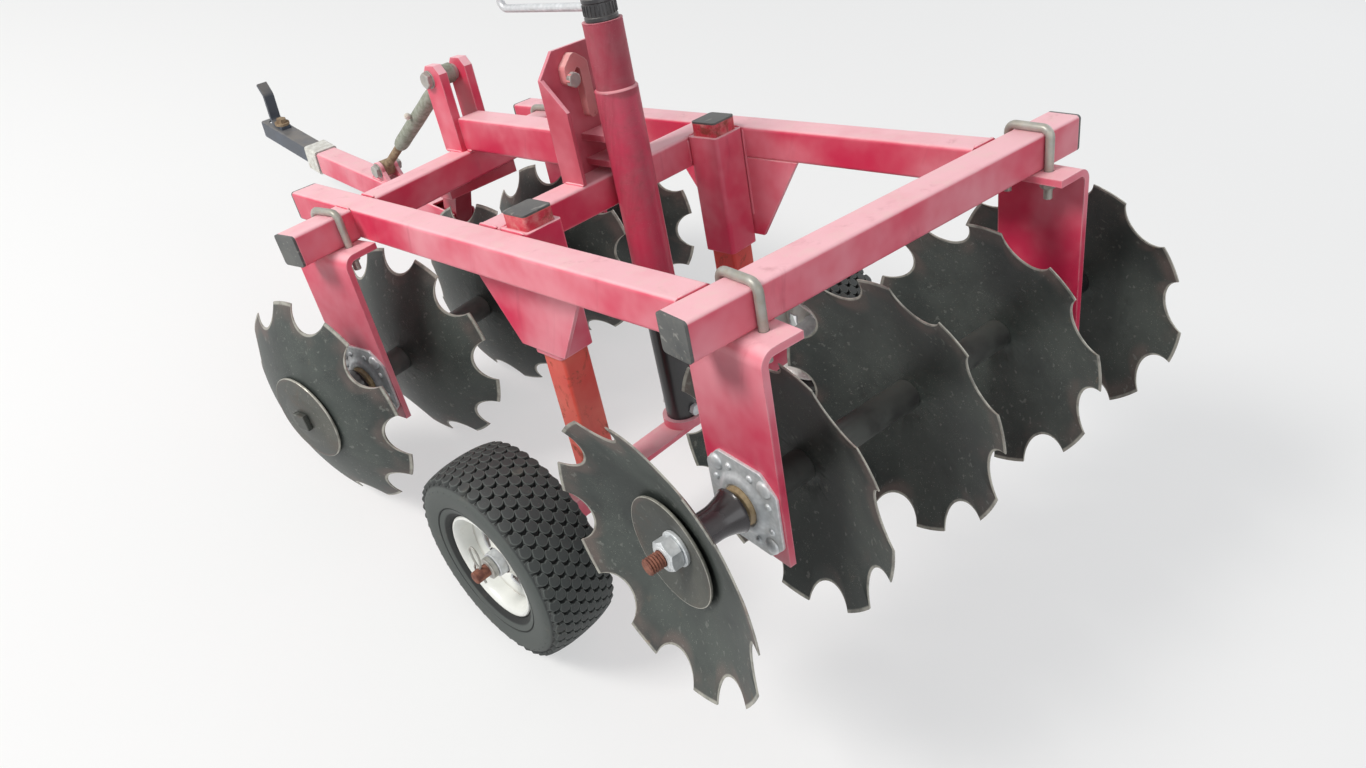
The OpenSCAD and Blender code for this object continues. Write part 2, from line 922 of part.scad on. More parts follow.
module jack_inner() {
    length = jack_inner_top - foot_bar_top;
    color([0.10, 0.10, 0.11]) stand()
        translate([tower_x, jack_y, foot_bar_top])
            difference() {
                cylinder(r = jack_inner_radius, h = length);
                translate([0, 0, -1])
                    cylinder(r = jack_inner_radius - jack_wall, h = length + 2);
                translate([0, 0, jack_bolt_z - foot_bar_top])
                    rotate([90, 0, 0])
                        cylinder(r = 6, h = 100, center = true);
            }
}

module jack_bolt() {
    color([0.74, 0.75, 0.76]) stand()
        translate([tower_x, jack_y, jack_bolt_z])
            rotate([90, 0, 0]) {
                cylinder(r = 6, h = 2 * jack_inner_radius + 16, center = true);
                translate([0, 0, jack_inner_radius])
                    cylinder(r = 18 / sqrt(3), h = 8, $fn = 6);
                translate([0, 0, -jack_inner_radius - 8])
                    cylinder(r = 18 / sqrt(3), h = 8, $fn = 6);
            }
}

module wheel_arm(side) {
    outer = wheel_x + tyre_side + 14;
    translate([0, leg_y, -axle_drop])
        mirror([side < 0 ? 1 : 0, 0, 0]) {
            difference() {
                tube_x(arm_inner, arm_outer, arm, 4);
                rod_x(spindle / 2, arm_outer - 30, arm_outer + 1);
            }
            rod_x(spindle / 2 + 8, arm_outer, arm_outer + 8);
            rod_x(spindle / 2, arm_outer - 20, outer);
            translate([arm_outer - 20, -(arm - 8) / 2 + 0.2, -(arm - 8) / 2 + 0.2])
                cube([20, arm - 8.4, arm - 8.4]);
        }
}

module arm_left() {
    color([0.74, 0.13, 0.17]) stand() wheel_arm(-1);
}

module arm_right() {
    color([0.74, 0.13, 0.17]) stand() wheel_arm(1);
}

module collar(side) {
    inner = wheel_x + hub_side + 1;
    translate([0, leg_y, -axle_drop])
        mirror([side < 0 ? 1 : 0, 0, 0])
            difference() {
                rod_x(spindle / 2 + 8, inner, inner + 6);
                rod_x(spindle / 2, inner - 1, inner + 7);
            }
}

module spindle_collars() {
    color([0.50, 0.40, 0.32]) stand() {
        collar(-1);
        collar(1);
    }
}

// Wheel around its own axis along X, its outer side at +X
module tyre_shape() {
    crown = tyre_radius;
    wall = tyre_side;
    shoulder = 24;
    rotate([0, 90, 0])
        rotate_extrude($fn = 128)
            difference() {
                union() {
                    translate([wheel_bead, -wall + shoulder])
                        square([crown - wheel_bead, 2 * (wall - shoulder)]);
                    translate([wheel_bead, -wall])
                        square([crown - wheel_bead - shoulder, 2 * wall]);
                    for (s = [-1, 1])
                        translate([crown - shoulder, s * (wall - shoulder)])
                            circle(r = shoulder);
                }
                for (s = [-1, 1])
                    translate([wheel_bead - 1, s > 0 ? rim_flange : -wall - 1])
                        square([rim_radius - wheel_bead + 4, wall + 1 - rim_flange]);
            }
}

module rim_shape() {
    inner = wheel_bead - rim_wall;
    rotate([0, 90, 0])
        rotate_extrude($fn = 128) {
            translate([inner, -rim_flange - rim_wall])
                square([rim_wall, 2 * (rim_flange + rim_wall)]);
            for (s = [-1, 1])
                translate([inner, s > 0 ? rim_flange : -rim_flange - rim_wall])
                    square([rim_radius - inner, rim_wall]);
            translate([hub_radius, -6])
                square([inner - hub_radius, 4]);
        }
}

module hub_shape() {
    difference() {
        rod_x(hub_radius, -hub_side, hub_side);
        rod_x(spindle / 2 + hub_gap, -hub_side - 1, hub_side + 1);
    }
}

module wheel_place(side) {
    translate([side * wheel_x, leg_y, -axle_drop])
        mirror([side < 0 ? 1 : 0, 0, 0])
            children();
}

module tyre_left() {
    color([0.11, 0.11, 0.12]) stand() wheel_place(-1) tyre_shape();
}

module tyre_right() {
    color([0.11, 0.11, 0.12]) stand() wheel_place(1) tyre_shape();
}

module rim_left() {
    color([0.82, 0.82, 0.80]) stand() wheel_place(-1) rim_shape();
}

module rim_right() {
    color([0.82, 0.82, 0.80]) stand() wheel_place(1) rim_shape();
}

module hub_left() {
    color([0.78, 0.78, 0.77]) stand() wheel_place(-1) hub_shape();
}

module hub_right() {
    color([0.78, 0.78, 0.77]) stand() wheel_place(1) hub_shape();
}

// Plate and lug under the front beam that carry the drawbar's hinge
module hitch_bracket() {
    bottom = -tube - hitch_plate_thickness;
    front = hinge_y - 6;
    color([0.60, 0.08, 0.13]) stand()
        translate([spine_x, 0, 0]) {
            translate([-hitch_plate_width / 2, hitch_plate_rear, bottom])
                cube([hitch_plate_width, front - hitch_plate_rear, hitch_plate_thickness]);
            difference() {
                translate([-lug / 2, 0, 0])
                    rotate([90, 0, 90])
                        linear_extrude(height = lug) {
                            translate([hinge_y, hinge_z])
                                circle(r = lug_radius);
                            polygon([[hinge_y - 58, bottom], [front, bottom], [hinge_y + lug_radius, hinge_z],
                                [hinge_y - lug_radius, hinge_z]]);
                        }
                translate([0, hinge_y, hinge_z])
                    rod_x(pin / 2 + pin_gap, -lug, lug);
            }
        }
}

// The drawbar's pieces are drawn along +Y from the hinge and then sloped
module drawbar_place() {
    translate([spine_x, hinge_y, hinge_z])
        rotate([drawbar_slope, 0, 0])
            children();
}

module drawbar_tube() {
    color([0.78, 0.14, 0.20]) stand() drawbar_place()
        difference() {
            tube_y(-24, drawbar_length);
            rod_x(pin / 2, -tube, tube);
            translate([-lug / 2 - 2.6, -25, 0])
                cube([lug + 5.2, 25 + lug_radius + 34, tube]);
            translate([-tube, -25, -tube])
                cube([2 * tube, 12, tube - 6]);
        }
}

module drawbar_pin() {
    color([0.70, 0.70, 0.70]) stand() drawbar_place() {
        rod_x(pin / 2, -half_tube - 3, half_tube + 3);
        hex_x(24, half_tube, half_tube + 9);
    }
}

// The tongue leaves the tube's end and rises a little more
module tongue_place() {
    drawbar_place()
        translate([0, drawbar_length, 0])
            rotate([tongue_rise, 0, 0])
                children();
}

module drawbar_collar() {
    color([0.86, 0.86, 0.85]) stand() tongue_place()
        translate([0, collar_gap, 0])
            rotate([90, 0, 180])
                linear_extrude(height = collar_length)
                    difference() {
                        square_section(collar_side, tube_corner);
                        square_section(tongue, tongue * 0.11);
                    }
}

module drawbar_tongue() {
    color([0.16, 0.17, 0.18]) stand() {
        drawbar_place()
            tube_y(drawbar_length - tongue_inside, drawbar_length + tongue_overlap, tongue, tube_wall);
        difference() {
            tongue_place()
                tube_y(0, tongue_reach, tongue, tube_wall);
            tongue_place()
                translate([0, hitch_at, -tongue])
                    cylinder(r = hitch_hole / 2, h = 2 * tongue);
        }
    }
}

module drawbar_ears() {
    color([0.76, 0.13, 0.19]) stand() drawbar_place()
        for (side = [-1, 1])
            translate([side * (ear_gap + ear_plate) / 2 - ear_plate / 2, 0, 0])
                rotate([90, 0, 90])
                    linear_extrude(height = ear_plate)
                        difference() {
                            union() {
                                polygon([[ear_along - 36, half_tube], [ear_along + 36, half_tube],
                                    [ear_along + 17, ear_up], [ear_along - 17, ear_up]]);
                                translate([ear_along, ear_up])
                                    circle(r = 17);
                            }
                            translate([ear_along, ear_up])
                                circle(r = pin / 2 + pin_gap);
                        }
}

module ear_bolt() {
    reach = ear_gap / 2 + ear_plate;
    color([0.68, 0.68, 0.66]) stand() drawbar_place()
        translate([0, ear_along, ear_up]) {
            rod_x(pin / 2, -reach - 4, reach + 4);
            hex_x(25, -reach - 10, -reach);
            hex_x(25, reach, reach + 10);
        }
}

// Bent strap that stands on the tongue behind its hitch hole
module hitch_strap() {
    low = tongue / 2;
    inner = strap_bend - strap_plate;
    turn_level = low + strap_bend + strap_upright;
    leg = strap_height - strap_upright - 2 * strap_bend;
    lean = 90 - strap_turn;
    // Both bends are made of short flats, four to a bend
    low_outside = [for (i = [0:4]) [strap_low_bend, low + strap_bend] + strap_bend * [cos(-90 + 22.5 * i), sin(-90 + 22.5 * i)]];
    low_inside = [for (i = [4:-1:0]) [strap_low_bend, low + strap_bend] + inner * [cos(-90 + 22.5 * i), sin(-90 + 22.5 * i)]];
    high_inside = [for (i = [0:4]) [strap_high_bend, turn_level] + inner * [cos(180 - strap_turn / 4 * i), sin(180 - strap_turn / 4 * i)]];
    high_outside = [for (i = [4:-1:0]) [strap_high_bend, turn_level] + strap_bend * [cos(180 - strap_turn / 4 * i), sin(180 - strap_turn / 4 * i)]];
    end_inside = high_inside[4] + leg * [cos(lean), sin(lean)];
    end_outside = high_outside[0] + leg * [cos(lean), sin(lean)];
    color([0.34, 0.35, 0.37]) stand() tongue_place()
        translate([-strap_width / 2, 0, 0])
            rotate([90, 0, 90])
                linear_extrude(height = strap_width)
                    polygon(concat([[strap_rear, low]], low_outside, high_inside,
                        [end_inside, end_outside], high_outside, low_inside, [[strap_rear, low + strap_plate]]));
}

module tongue_bolt() {
    color([0.62, 0.55, 0.47]) stand() tongue_place()
        translate([0, strap_bolt, tongue / 2 + strap_plate]) {
            cylinder(r = strap_washer, h = 5);
            translate([0, 0, 5])
                cylinder(r = 20 / sqrt(3), h = 9, $fn = 6);
        }
}

// Turnbuckle, drawn along +Y from the mast pin and then sloped down to the drawbar's ears
module link_place() {
    translate([spine_x, mast_pin_y, mast_pin_z])
        rotate([-link_fall, 0, 0])
            children();
}

module eye_end(y) {
    translate([0, y, 0])
        rod_x(eye / 2, -eye_width / 2, eye_width / 2);
}

module turnbuckle_barrel() {
    color([0.60, 0.62, 0.58]) stand() link_place()
        difference() {
            union() {
                eye_end(0);
                rotate([-90, 0, 0])
                    cylinder(r = rod / 2, h = barrel_start);
                translate([0, barrel_start, 0])
                    rotate([-90, 0, 0])
                        cylinder(r = barrel / 2, h = barrel_end - barrel_start);
                translate([0, (barrel_start + barrel_end) / 2, 0])
                    rod_x(6, -62, 0);
            }
            rod_x(pin / 2 + pin_gap, -eye_width, eye_width);
            translate([0, barrel_end - 75, 0])
                rotate([-90, 0, 0])
                    cylinder(r = rod / 2 + pin_gap, h = 76);
        }
}

module turnbuckle_rod() {
    color([0.58, 0.52, 0.44]) stand() link_place()
        difference() {
            union() {
                eye_end(link_length);
                translate([0, barrel_end - 40, 0])
                    rotate([-90, 0, 0])
                        cylinder(r = rod / 2, h = link_length - barrel_end + 40);
            }
            translate([0, link_length, 0])
                rod_x(pin / 2 + open_gap, -eye_width, eye_width);
        }
}

module mast_bolt() {
    reach = mast_gap / 2 + mast_thickness;
    color([0.66, 0.66, 0.64]) stand()
        translate([spine_x, mast_pin_y, mast_pin_z]) {
            rod_x(pin / 2, -reach - 6, reach + 6);
            hex_x(25, -reach - 11, -reach);
            hex_x(25, reach, reach + 11);
            for (side = [-1, 1])
                difference() {
                    rod_x(13, side > 0 ? eye_width / 2 + 0.4 : -mast_gap / 2,
                        side > 0 ? mast_gap / 2 : -eye_width / 2 - 0.4);
                    rod_x(pin / 2, -far, far);
                }
        }
}

// Bent strap on the back of the tower, from its upper bolt over to its lower end
module strap_bar(a, b, r) {
    length = norm(b - a);
    turn = atan2(b[1] - a[1], b[0] - a[0]);
    translate(a) {
        circle(r = r);
        rotate([0, 0, turn])
            translate([0, -r])
                square([length, 2 * r]);
    }
}

module tower_strap() {
    points = [[-27, 142], [-27, 156], [-14, 168], [0, 157], [0, 88]];
    half_widths = [9, 9, 9, 8.5, 8];
    color([0.78, 0.14, 0.20]) stand()
        translate([tower_x, middle_front - tower_plate, 0])
            rotate([90, 0, 0]) {
                linear_extrude(height = tower_strap_depth) {
                    for (i = [0:3])
                        strap_bar(points[i], points[i + 1], half_widths[i + 1]);
                    translate(points[4])
                        circle(r = half_widths[4]);
                }
                translate([points[0][0], points[0][1], tower_strap_depth])
                    cylinder(r = tower_bolt / sqrt(3), h = tower_bolt * 0.4, $fn = 6);
            }
}

rail_left();
rail_right();
rear_beam();
front_beam();
middle_beam();
tube_caps();
sleeves();
gussets();
spine();
masts();
mast_bolt();
tower();
tower_strap();
jack_bracket();
jack_tube();
jack_crank();
rear_hangers();
front_hangers();
u_bolts();
bearing_flanges();
hitch_bracket();
leg_left();
leg_right();
leg_caps();
foot_bar();
jack_foot();
jack_inner();
jack_bolt();
arm_left();
arm_right();
spindle_collars();
tyre_left();
tyre_right();
rim_left();
rim_right();
hub_left();
hub_right();
rear_discs();
front_discs();
rear_spools();
front_spools();
rear_gang_bolt();
front_gang_bolt();
drawbar_tube();
drawbar_pin();
drawbar_collar();
drawbar_tongue();
drawbar_ears();
ear_bolt();
hitch_strap();
tongue_bolt();
turnbuckle_barrel();
turnbuckle_rod();
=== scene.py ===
import bpy
import bmesh
import json
import math
from mathutils import Matrix, Vector, noise


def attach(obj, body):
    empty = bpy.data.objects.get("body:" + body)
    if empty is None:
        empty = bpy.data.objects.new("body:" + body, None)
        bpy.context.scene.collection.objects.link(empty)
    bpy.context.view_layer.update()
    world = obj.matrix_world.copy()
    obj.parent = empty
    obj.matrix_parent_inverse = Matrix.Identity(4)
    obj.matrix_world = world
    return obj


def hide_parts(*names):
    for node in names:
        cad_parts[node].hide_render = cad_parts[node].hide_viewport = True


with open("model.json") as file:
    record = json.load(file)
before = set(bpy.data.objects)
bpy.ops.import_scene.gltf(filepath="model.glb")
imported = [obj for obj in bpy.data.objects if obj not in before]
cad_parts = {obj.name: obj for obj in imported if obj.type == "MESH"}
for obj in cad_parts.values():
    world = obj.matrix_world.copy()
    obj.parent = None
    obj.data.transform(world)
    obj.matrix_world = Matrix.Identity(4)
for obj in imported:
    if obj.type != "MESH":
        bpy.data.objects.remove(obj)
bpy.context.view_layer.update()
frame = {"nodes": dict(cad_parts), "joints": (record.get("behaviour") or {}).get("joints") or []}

nodes = frame["nodes"]
joints = {j["name"]: j for j in frame["joints"]}
scene = bpy.context.scene


# Driving sizes, in millimetres and degrees, as in the part's source
TUBE = 50.8
RAIL_GAP = 447
MIDDLE_BEAM_Y = 51.4
BEAM_Y = 431
GANG_ANGLE = 8.42
SLEEVE = 63.5
SPINE_X = 15
MAST_REAR = 415.74
MAST_PIN_Y = 451.38
MAST_PIN_Z = 127
TOWER_X = 8
JACK_TUBE = 63.5
JACK_HEAD_TOP = 218
CRANK_REACH = 228
WHEEL_X = 374.5
AXLE_DROP = 460
DISC_RADIUS = 189
DISC_DISH = 48
DISC_COUNT = 5
FIRST_DISC = -352.5
DISC_PITCH = 200.65
FRONT_GANG_SHIFT = 25
NOTCHES = 9
NOTCH_RADIUS = 41
NOTCH_CENTRE = 197
REAR_TURNS = (1.8, 18.3, 37.8, 2.9, 21.5)
FRONT_TURNS = (36.8, 24, 12, 29.1, 35.6)
GANG_DROP = 284.5
GANG_BORE = 11.2
SPOOL_RADIUS = 22
HANGERS = (-250.5, 349.5)
HANGER_PLATE = 10
HINGE_Y = 566
HINGE_Z = -163
DRAWBAR_SLOPE = 7.5
EAR_REACH = 247
EAR_UP = 49.4
LINK_FALL = 30.62
LINK_LENGTH = 410.17

# Worked out from them
HALF = TUBE / 2
RAIL_X = RAIL_GAP / 2 + HALF
RAIL_INNER = RAIL_X - HALF
RAIL_OUTER = RAIL_X + HALF
MIDDLE_REAR = MIDDLE_BEAM_Y - HALF
MIDDLE_FRONT = MIDDLE_BEAM_Y + HALF
LEG_X = RAIL_GAP / 2 - SLEEVE / 2
LEG_Y = MIDDLE_REAR - SLEEVE / 2
JACK_Y = MIDDLE_REAR - JACK_TUBE / 2 - 0.3
HALF_PLATE = 2
REAR_DISCS = [FIRST_DISC + i * DISC_PITCH for i in range(DISC_COUNT)]
FRONT_DISCS = [x + FRONT_GANG_SHIFT for x in REAR_DISCS]
SPHERE = (DISC_RADIUS ** 2 + DISC_DISH ** 2) / (2 * DISC_DISH)


# Places: each piece is drawn in millimetres in its own level frame, and the whole is set down as it parks
def move(x, y, z):
    return Matrix.Translation((x, y, z))


def turn(axis, degrees):
    return Matrix.Rotation(math.radians(degrees), 4, axis)


def level_to_parked():
    """Place of the level frame, from the lift's axis and the two wheel joints."""
    lean = math.degrees(math.atan2(*joints["lift_slide"]["axis"][1:]))
    left = Vector(joints["wheel_left_spin"]["pos_m"])
    right = Vector(joints["wheel_right_spin"]["pos_m"])
    axle = Matrix.Translation((left + right) / 2)
    return axle @ turn("X", -lean) @ Matrix.Scale(0.001, 4) @ move(0, -LEG_Y, AXLE_DROP)


MIRROR = Matrix.Diagonal((-1, 1, 1, 1))
STAND = level_to_parked()
REAR = STAND @ move(0, -BEAM_Y, 0) @ turn("Z", -GANG_ANGLE)
FRONT = STAND @ move(0, BEAM_Y, 0) @ turn("Z", GANG_ANGLE) @ MIRROR
BAR = STAND @ move(SPINE_X, HINGE_Y, HINGE_Z) @ turn("X", DRAWBAR_SLOPE)
LINK = STAND @ move(SPINE_X, MAST_PIN_Y, MAST_PIN_Z) @ turn("X", -LINK_FALL)
JACK = STAND @ move(TOWER_X, JACK_Y, 0)
WHEEL = {
    "left": STAND @ move(-WHEEL_X, LEG_Y, -AXLE_DROP) @ MIRROR,
    "right": STAND @ move(WHEEL_X, LEG_Y, -AXLE_DROP),
}


def circle(steps):
    """Angles of a full turn in equal steps."""
    return [2 * math.pi * i / steps for i in range(steps)]


def quarter(steps):
    """Angles from 0 to a quarter turn in equal steps, both ends in."""
    return [math.pi / 2 * i / steps for i in range(steps + 1)]


def polar(x, r, a):
    """The point at radius r and angle a around the X axis."""
    return (x, r * math.cos(a), r * math.sin(a))


# Camera, fitted to the corners of the tubes in the photo, in metres
CAMERA_AT = (-0.8286, -1.1197, 1.305)
CAMERA_RIGHT = (0.67915922, -0.73252276, 0.04640208)
CAMERA_UP = (0.48205218, 0.49282254, 0.72439743)
CAMERA_BACK = (-0.5535056, -0.46961297, 0.68781917)
LENS = 23.687
SENSOR = 36


def look():
    data = bpy.data.cameras.new("camera")
    cam = bpy.data.objects.new("camera", data)
    scene.collection.objects.link(cam)
    place = Matrix((CAMERA_RIGHT, CAMERA_UP, CAMERA_BACK)).transposed().to_4x4()
    place.translation = CAMERA_AT
    cam.matrix_world = place
    data.sensor_fit = "HORIZONTAL"
    data.sensor_width = SENSOR
    data.lens = LENS
    data.clip_start = 0.05
    data.clip_end = 60
    scene.camera = cam


# Stage: a grey floor that is half white to the eye, a soft sky that is white to the eye, three lamps
FLOOR_HALF = 14
FLOOR_GAP = 0.0005
WHITE = (1, 1, 1, 1)
LAMPS = (
    # name, place, target, side, watts, colour
    ("key", (-3.6, 1.7, 4.2), (0, 0, 0.3), 1.6, 250, (1, 0.98, 0.95)),
    ("fill", (-1.5, -4.2, 2.6), (0, 0, 0.4), 3.0, 36, (0.95, 0.97, 1)),
    ("side", (4.0, -1.0, 2.4), (0, 0, 0.4), 2.5, 27, (0.95, 0.97, 1)),
)


def lamp(name, place, target, size, energy, colour):
    data = bpy.data.lights.new(name, "AREA")
    data.shape = "SQUARE"
    data.size = size
    data.energy = energy
    data.color = colour
    obj = bpy.data.objects.new(name, data)
    obj.location = place
    direction = Vector(target) - Vector(place)
    obj.rotation_euler = direction.to_track_quat("-Z", "Y").to_euler()
    scene.collection.objects.link(obj)


def node(t, kind, inputs, **settings):
    """The outputs of a new shader node; each input is a socket to link or a value."""
    n = t.nodes.new("ShaderNode" + kind)
    for name, value in settings.items():
        setattr(n, name, value)
    for key, value in inputs.items():
        if isinstance(value, bpy.types.NodeSocket):
            t.links.new(value, n.inputs[key])
        else:
            n.inputs[key].default_value = value
    return n.outputs


def calc(t, operation, a, b, clamp=False):
    """A sum on two sockets, or on a socket and a number."""
    return node(t, "Math", {0: a, 1: b}, operation=operation, use_clamp=clamp)[0]


def seen_by_eye(t):
    """1 for what the camera sees, straight, mirrored or through glass, and 0 for the light that falls."""
    path = node(t, "LightPath", {})
    mirrored = calc(t, "MAXIMUM", path["Is Camera Ray"], path["Is Glossy Ray"])
    return calc(t, "MAXIMUM", mirrored, path["Is Transmission Ray"])


def mixed(t, share, first, second, output):
    """Mixes two shaders into the output."""
    mix = node(t, "MixShader", {0: share, 1: first, 2: second})[0]
    node(t, "Output" + output, {0: mix})


def stage():
    world = bpy.data.worlds.new("world")
    scene.world = world
    world.use_nodes = True
    t = world.node_tree
    t.nodes.clear()
    soft = node(t, "Background", {"Color": (0.93, 0.96, 1, 1), "Strength": 0.42})[0]
    white = node(t, "Background", {"Color": WHITE, "Strength": 1})[0]
    mixed(t, seen_by_eye(t), soft, white, "World")

    mesh = bpy.data.meshes.new("floor")
    s = FLOOR_HALF
    mesh.from_pydata([(-s, -s, 0), (s, -s, 0), (s, s, 0), (-s, s, 0)], [], [(0, 1, 2, 3)])
    floor = bpy.data.objects.new("floor", mesh)
    floor.location = (0, 0, -FLOOR_GAP)
    scene.collection.objects.link(floor)
    mat = bpy.data.materials.new("floor")
    mat.use_nodes = True
    t = mat.node_tree
    t.nodes.clear()
    grey = node(t, "BsdfDiffuse", {"Color": (0.82, 0.82, 0.81, 1)})[0]
    glow = node(t, "Emission", {"Color": WHITE, "Strength": 1})[0]
    mixed(t, calc(t, "MULTIPLY", seen_by_eye(t), 0.5), grey, glow, "Material")
    mesh.materials.append(mat)

    for row in LAMPS:
        lamp(*row)
    scene.view_settings.view_transform = "Standard"


look()
stage()


# Materials
def linear(colour):
    """Three numbers on the screen's scale of 0 to 255, as the shader wants them; four are already so."""
    def one(v):
        v = v / 255
        return v / 12.92 if v <= 0.04045 else ((v + 0.055) / 1.055) ** 2.4
    return colour if len(colour) == 4 else tuple(one(v) for v in colour) + (1,)


def shade(colour, share):
    """A colour made darker, or lighter where the share is over 1."""
    return tuple(v * share for v in linear(colour)[:3]) + (1,)


def between(a, b):
    return tuple(0.5 * (x + y) for x, y in zip(linear(a), linear(b)))


class Shader:
    """A material on one Principled shader, built up in layers; lengths are in metres."""

    def __init__(self, name, base, rough, metal=0.0, bevel=0.0012, coat=(0, 0.03)):
        self.mat = bpy.data.materials.new(name)
        self.mat.use_nodes = True
        self.t = self.mat.node_tree
        self.t.nodes.clear()
        self.place = self.node("TexCoord", {})["Object"]
        self.normal = self.node("NewGeometry", {})["Normal"]
        self.surface = {"Base Color": linear(base), "Roughness": rough, "Metallic": metal}
        self.surface["Coat Weight"] = coat[0]
        self.surface["Coat Roughness"] = coat[1]
        if bevel:
            self.surface["Normal"] = self.node("Bevel", {"Radius": bevel}, samples=6)[0]

    def node(self, kind, inputs, **settings):
        return node(self.t, kind, inputs, **settings)

    def noise(self, scale, detail=3, rough=0.55, distort=0.0, stretch=None):
        place = self.node("Mapping", {"Vector": self.place, "Scale": stretch})[0] if stretch else self.place
        inputs = {"Scale": scale, "Detail": detail, "Roughness": rough, "Distortion": distort}
        return self.node("TexNoise", {"Vector": place, **inputs})[0]

    def cells(self, scale):
        return self.node("TexVoronoi", {"Vector": self.place, "Scale": scale}, feature="F1")[0]

    def specks(self, scale, low=0.05, high=0.12):
        """Small dots, one in each cell."""
        return self.span(self.cells(scale), low, high, 1, 0)

    def span(self, socket, low, high, to_low=0.0, to_high=1.0):
        """A smooth step from low to high."""
        inputs = {0: socket, "From Min": low, "From Max": high, "To Min": to_low, "To Max": to_high}
        return self.node("MapRange", inputs, interpolation_type="SMOOTHSTEP")[0]

    def times(self, a, b):
        return calc(self.t, "MULTIPLY", a, b, True)

    def patchy(self, mask, noise, low, high, to_low=0.0, to_high=1.0):
        """A mask broken up by the patches of a noise."""
        return self.times(mask, self.span(self.noise(*noise), low, high, to_low, to_high))

    def up(self):
        """How far the surface faces the sky."""
        return self.node("SeparateXYZ", {0: self.normal})[2]

    def high(self):
        """Height above the object's origin."""
        return self.node("SeparateXYZ", {0: self.place})[2]

    def wear(self):
        """The wear written on the mesh by its piece; on the tyre and the spools it also carries painted shade
        and painted sunlight.
        """
        return self.node("Attribute", {}, attribute_name="wear")["Fac"]

    def edge(self, radius=0.003, low=0.02, high=0.2):
        """1 along sharp edges."""
        rounded = self.node("Bevel", {"Radius": radius}, samples=6)[0]
        same = self.node("VectorMath", {0: rounded, 1: self.normal}, operation="DOT_PRODUCT")["Value"]
        return self.span(calc(self.t, "SUBTRACT", 1.0, same), low, high)

    def layer(self, mask, colour, rough=None, metal=None):
        top = {0: mask, 6: self.surface["Base Color"], 7: linear(colour)}
        self.surface["Base Color"] = self.node("Mix", top, data_type="RGBA")[2]
        for name, value in (("Roughness", rough), ("Metallic", metal)):
            if value is not None:
                top = {0: mask, 2: self.surface[name], 3: value}
                self.surface[name] = self.node("Mix", top, data_type="FLOAT")[0]

    def cloud(self, noise, low, high, share, colour, rough=None, metal=None):
        """A layer in the patches of a noise."""
        self.layer(self.span(self.noise(*noise), low, high, 0, share), colour, rough, metal)

    def bump(self, height, distance, strength):
        inputs = {"Height": height, "Distance": distance, "Strength": strength}
        if "Normal" in self.surface:
            inputs["Normal"] = self.surface["Normal"]
        self.surface["Normal"] = self.node("Bump", inputs)[0]

    def done(self):
        self.node("OutputMaterial", {0: self.node("BsdfPrincipled", self.surface)[0]})
        return self.mat


def red_paint(name, base, faded_and_lit, top_share, wear, rough, rust=0.0, dusty=(236, 196, 194), above=None):
    """Paint with paler tops, for bleaching and for painted sunlight; above is the colour of a leg over its
    sleeve.
    """
    s = Shader(name, base, rough, coat=(0.12, 0.25))
    s.cloud((5, 4), 0.35, 0.7, 1, between(base, faded_and_lit))
    up = s.span(s.up(), 0.45, 0.95)
    # The tops are paler in patches: bleached paint and painted sunlight.
    bleach_and_sunlight = s.patchy(up, (14, 5, 0.6), 0.2, 0.6, 0.78, 1)
    s.layer(s.times(bleach_and_sunlight, top_share), faded_and_lit, rough + 0.12)
    film = s.patchy(up, (38, 6, 0.65), 0.45, 0.72, 0, 0.6)
    s.layer(film, dusty, 0.75)
    s.cloud((30, 5, 0.6, 0.4, (1, 1, 0.12)), 0.58, 0.8, 0.35, shade(base, 0.55), rough + 0.15)
    grit = s.patchy(s.specks(420), (25, 2), 0.5, 0.62)
    s.layer(s.times(grit, 0.55), (205, 188, 168), 0.8)
    if above:
        top = s.times(s.span(s.high(), 0.56, 0.6), 0.92)
        s.layer(top, above)
        s.layer(s.patchy(top, (40, 6, 0.7), 0.4, 0.7, 0, 0.6), (214, 168, 160), 0.75)
    if rust:
        patch = s.span(s.noise(22, 8, 0.7, 0.6), 0.62 - 0.2 * rust, 0.74 - 0.15 * rust)
        s.layer(s.times(patch, 0.85), (120, 62, 44), 0.85)
    chips = s.patchy(s.edge(), (70, 6, 0.7), 0.5, 0.66)
    s.layer(s.times(chips, wear), (148, 84, 70), 0.7)
    pale = s.patchy(s.edge(0.004, 0.01, 0.12), (16, 3), 0.35, 0.6, 0, 0.45)
    s.layer(pale, faded_and_lit)
    s.bump(s.noise(900, 2), 0.00008, 0.5)
    s.bump(s.noise(60, 4), 0.0003, 0.25)
    return s.done()


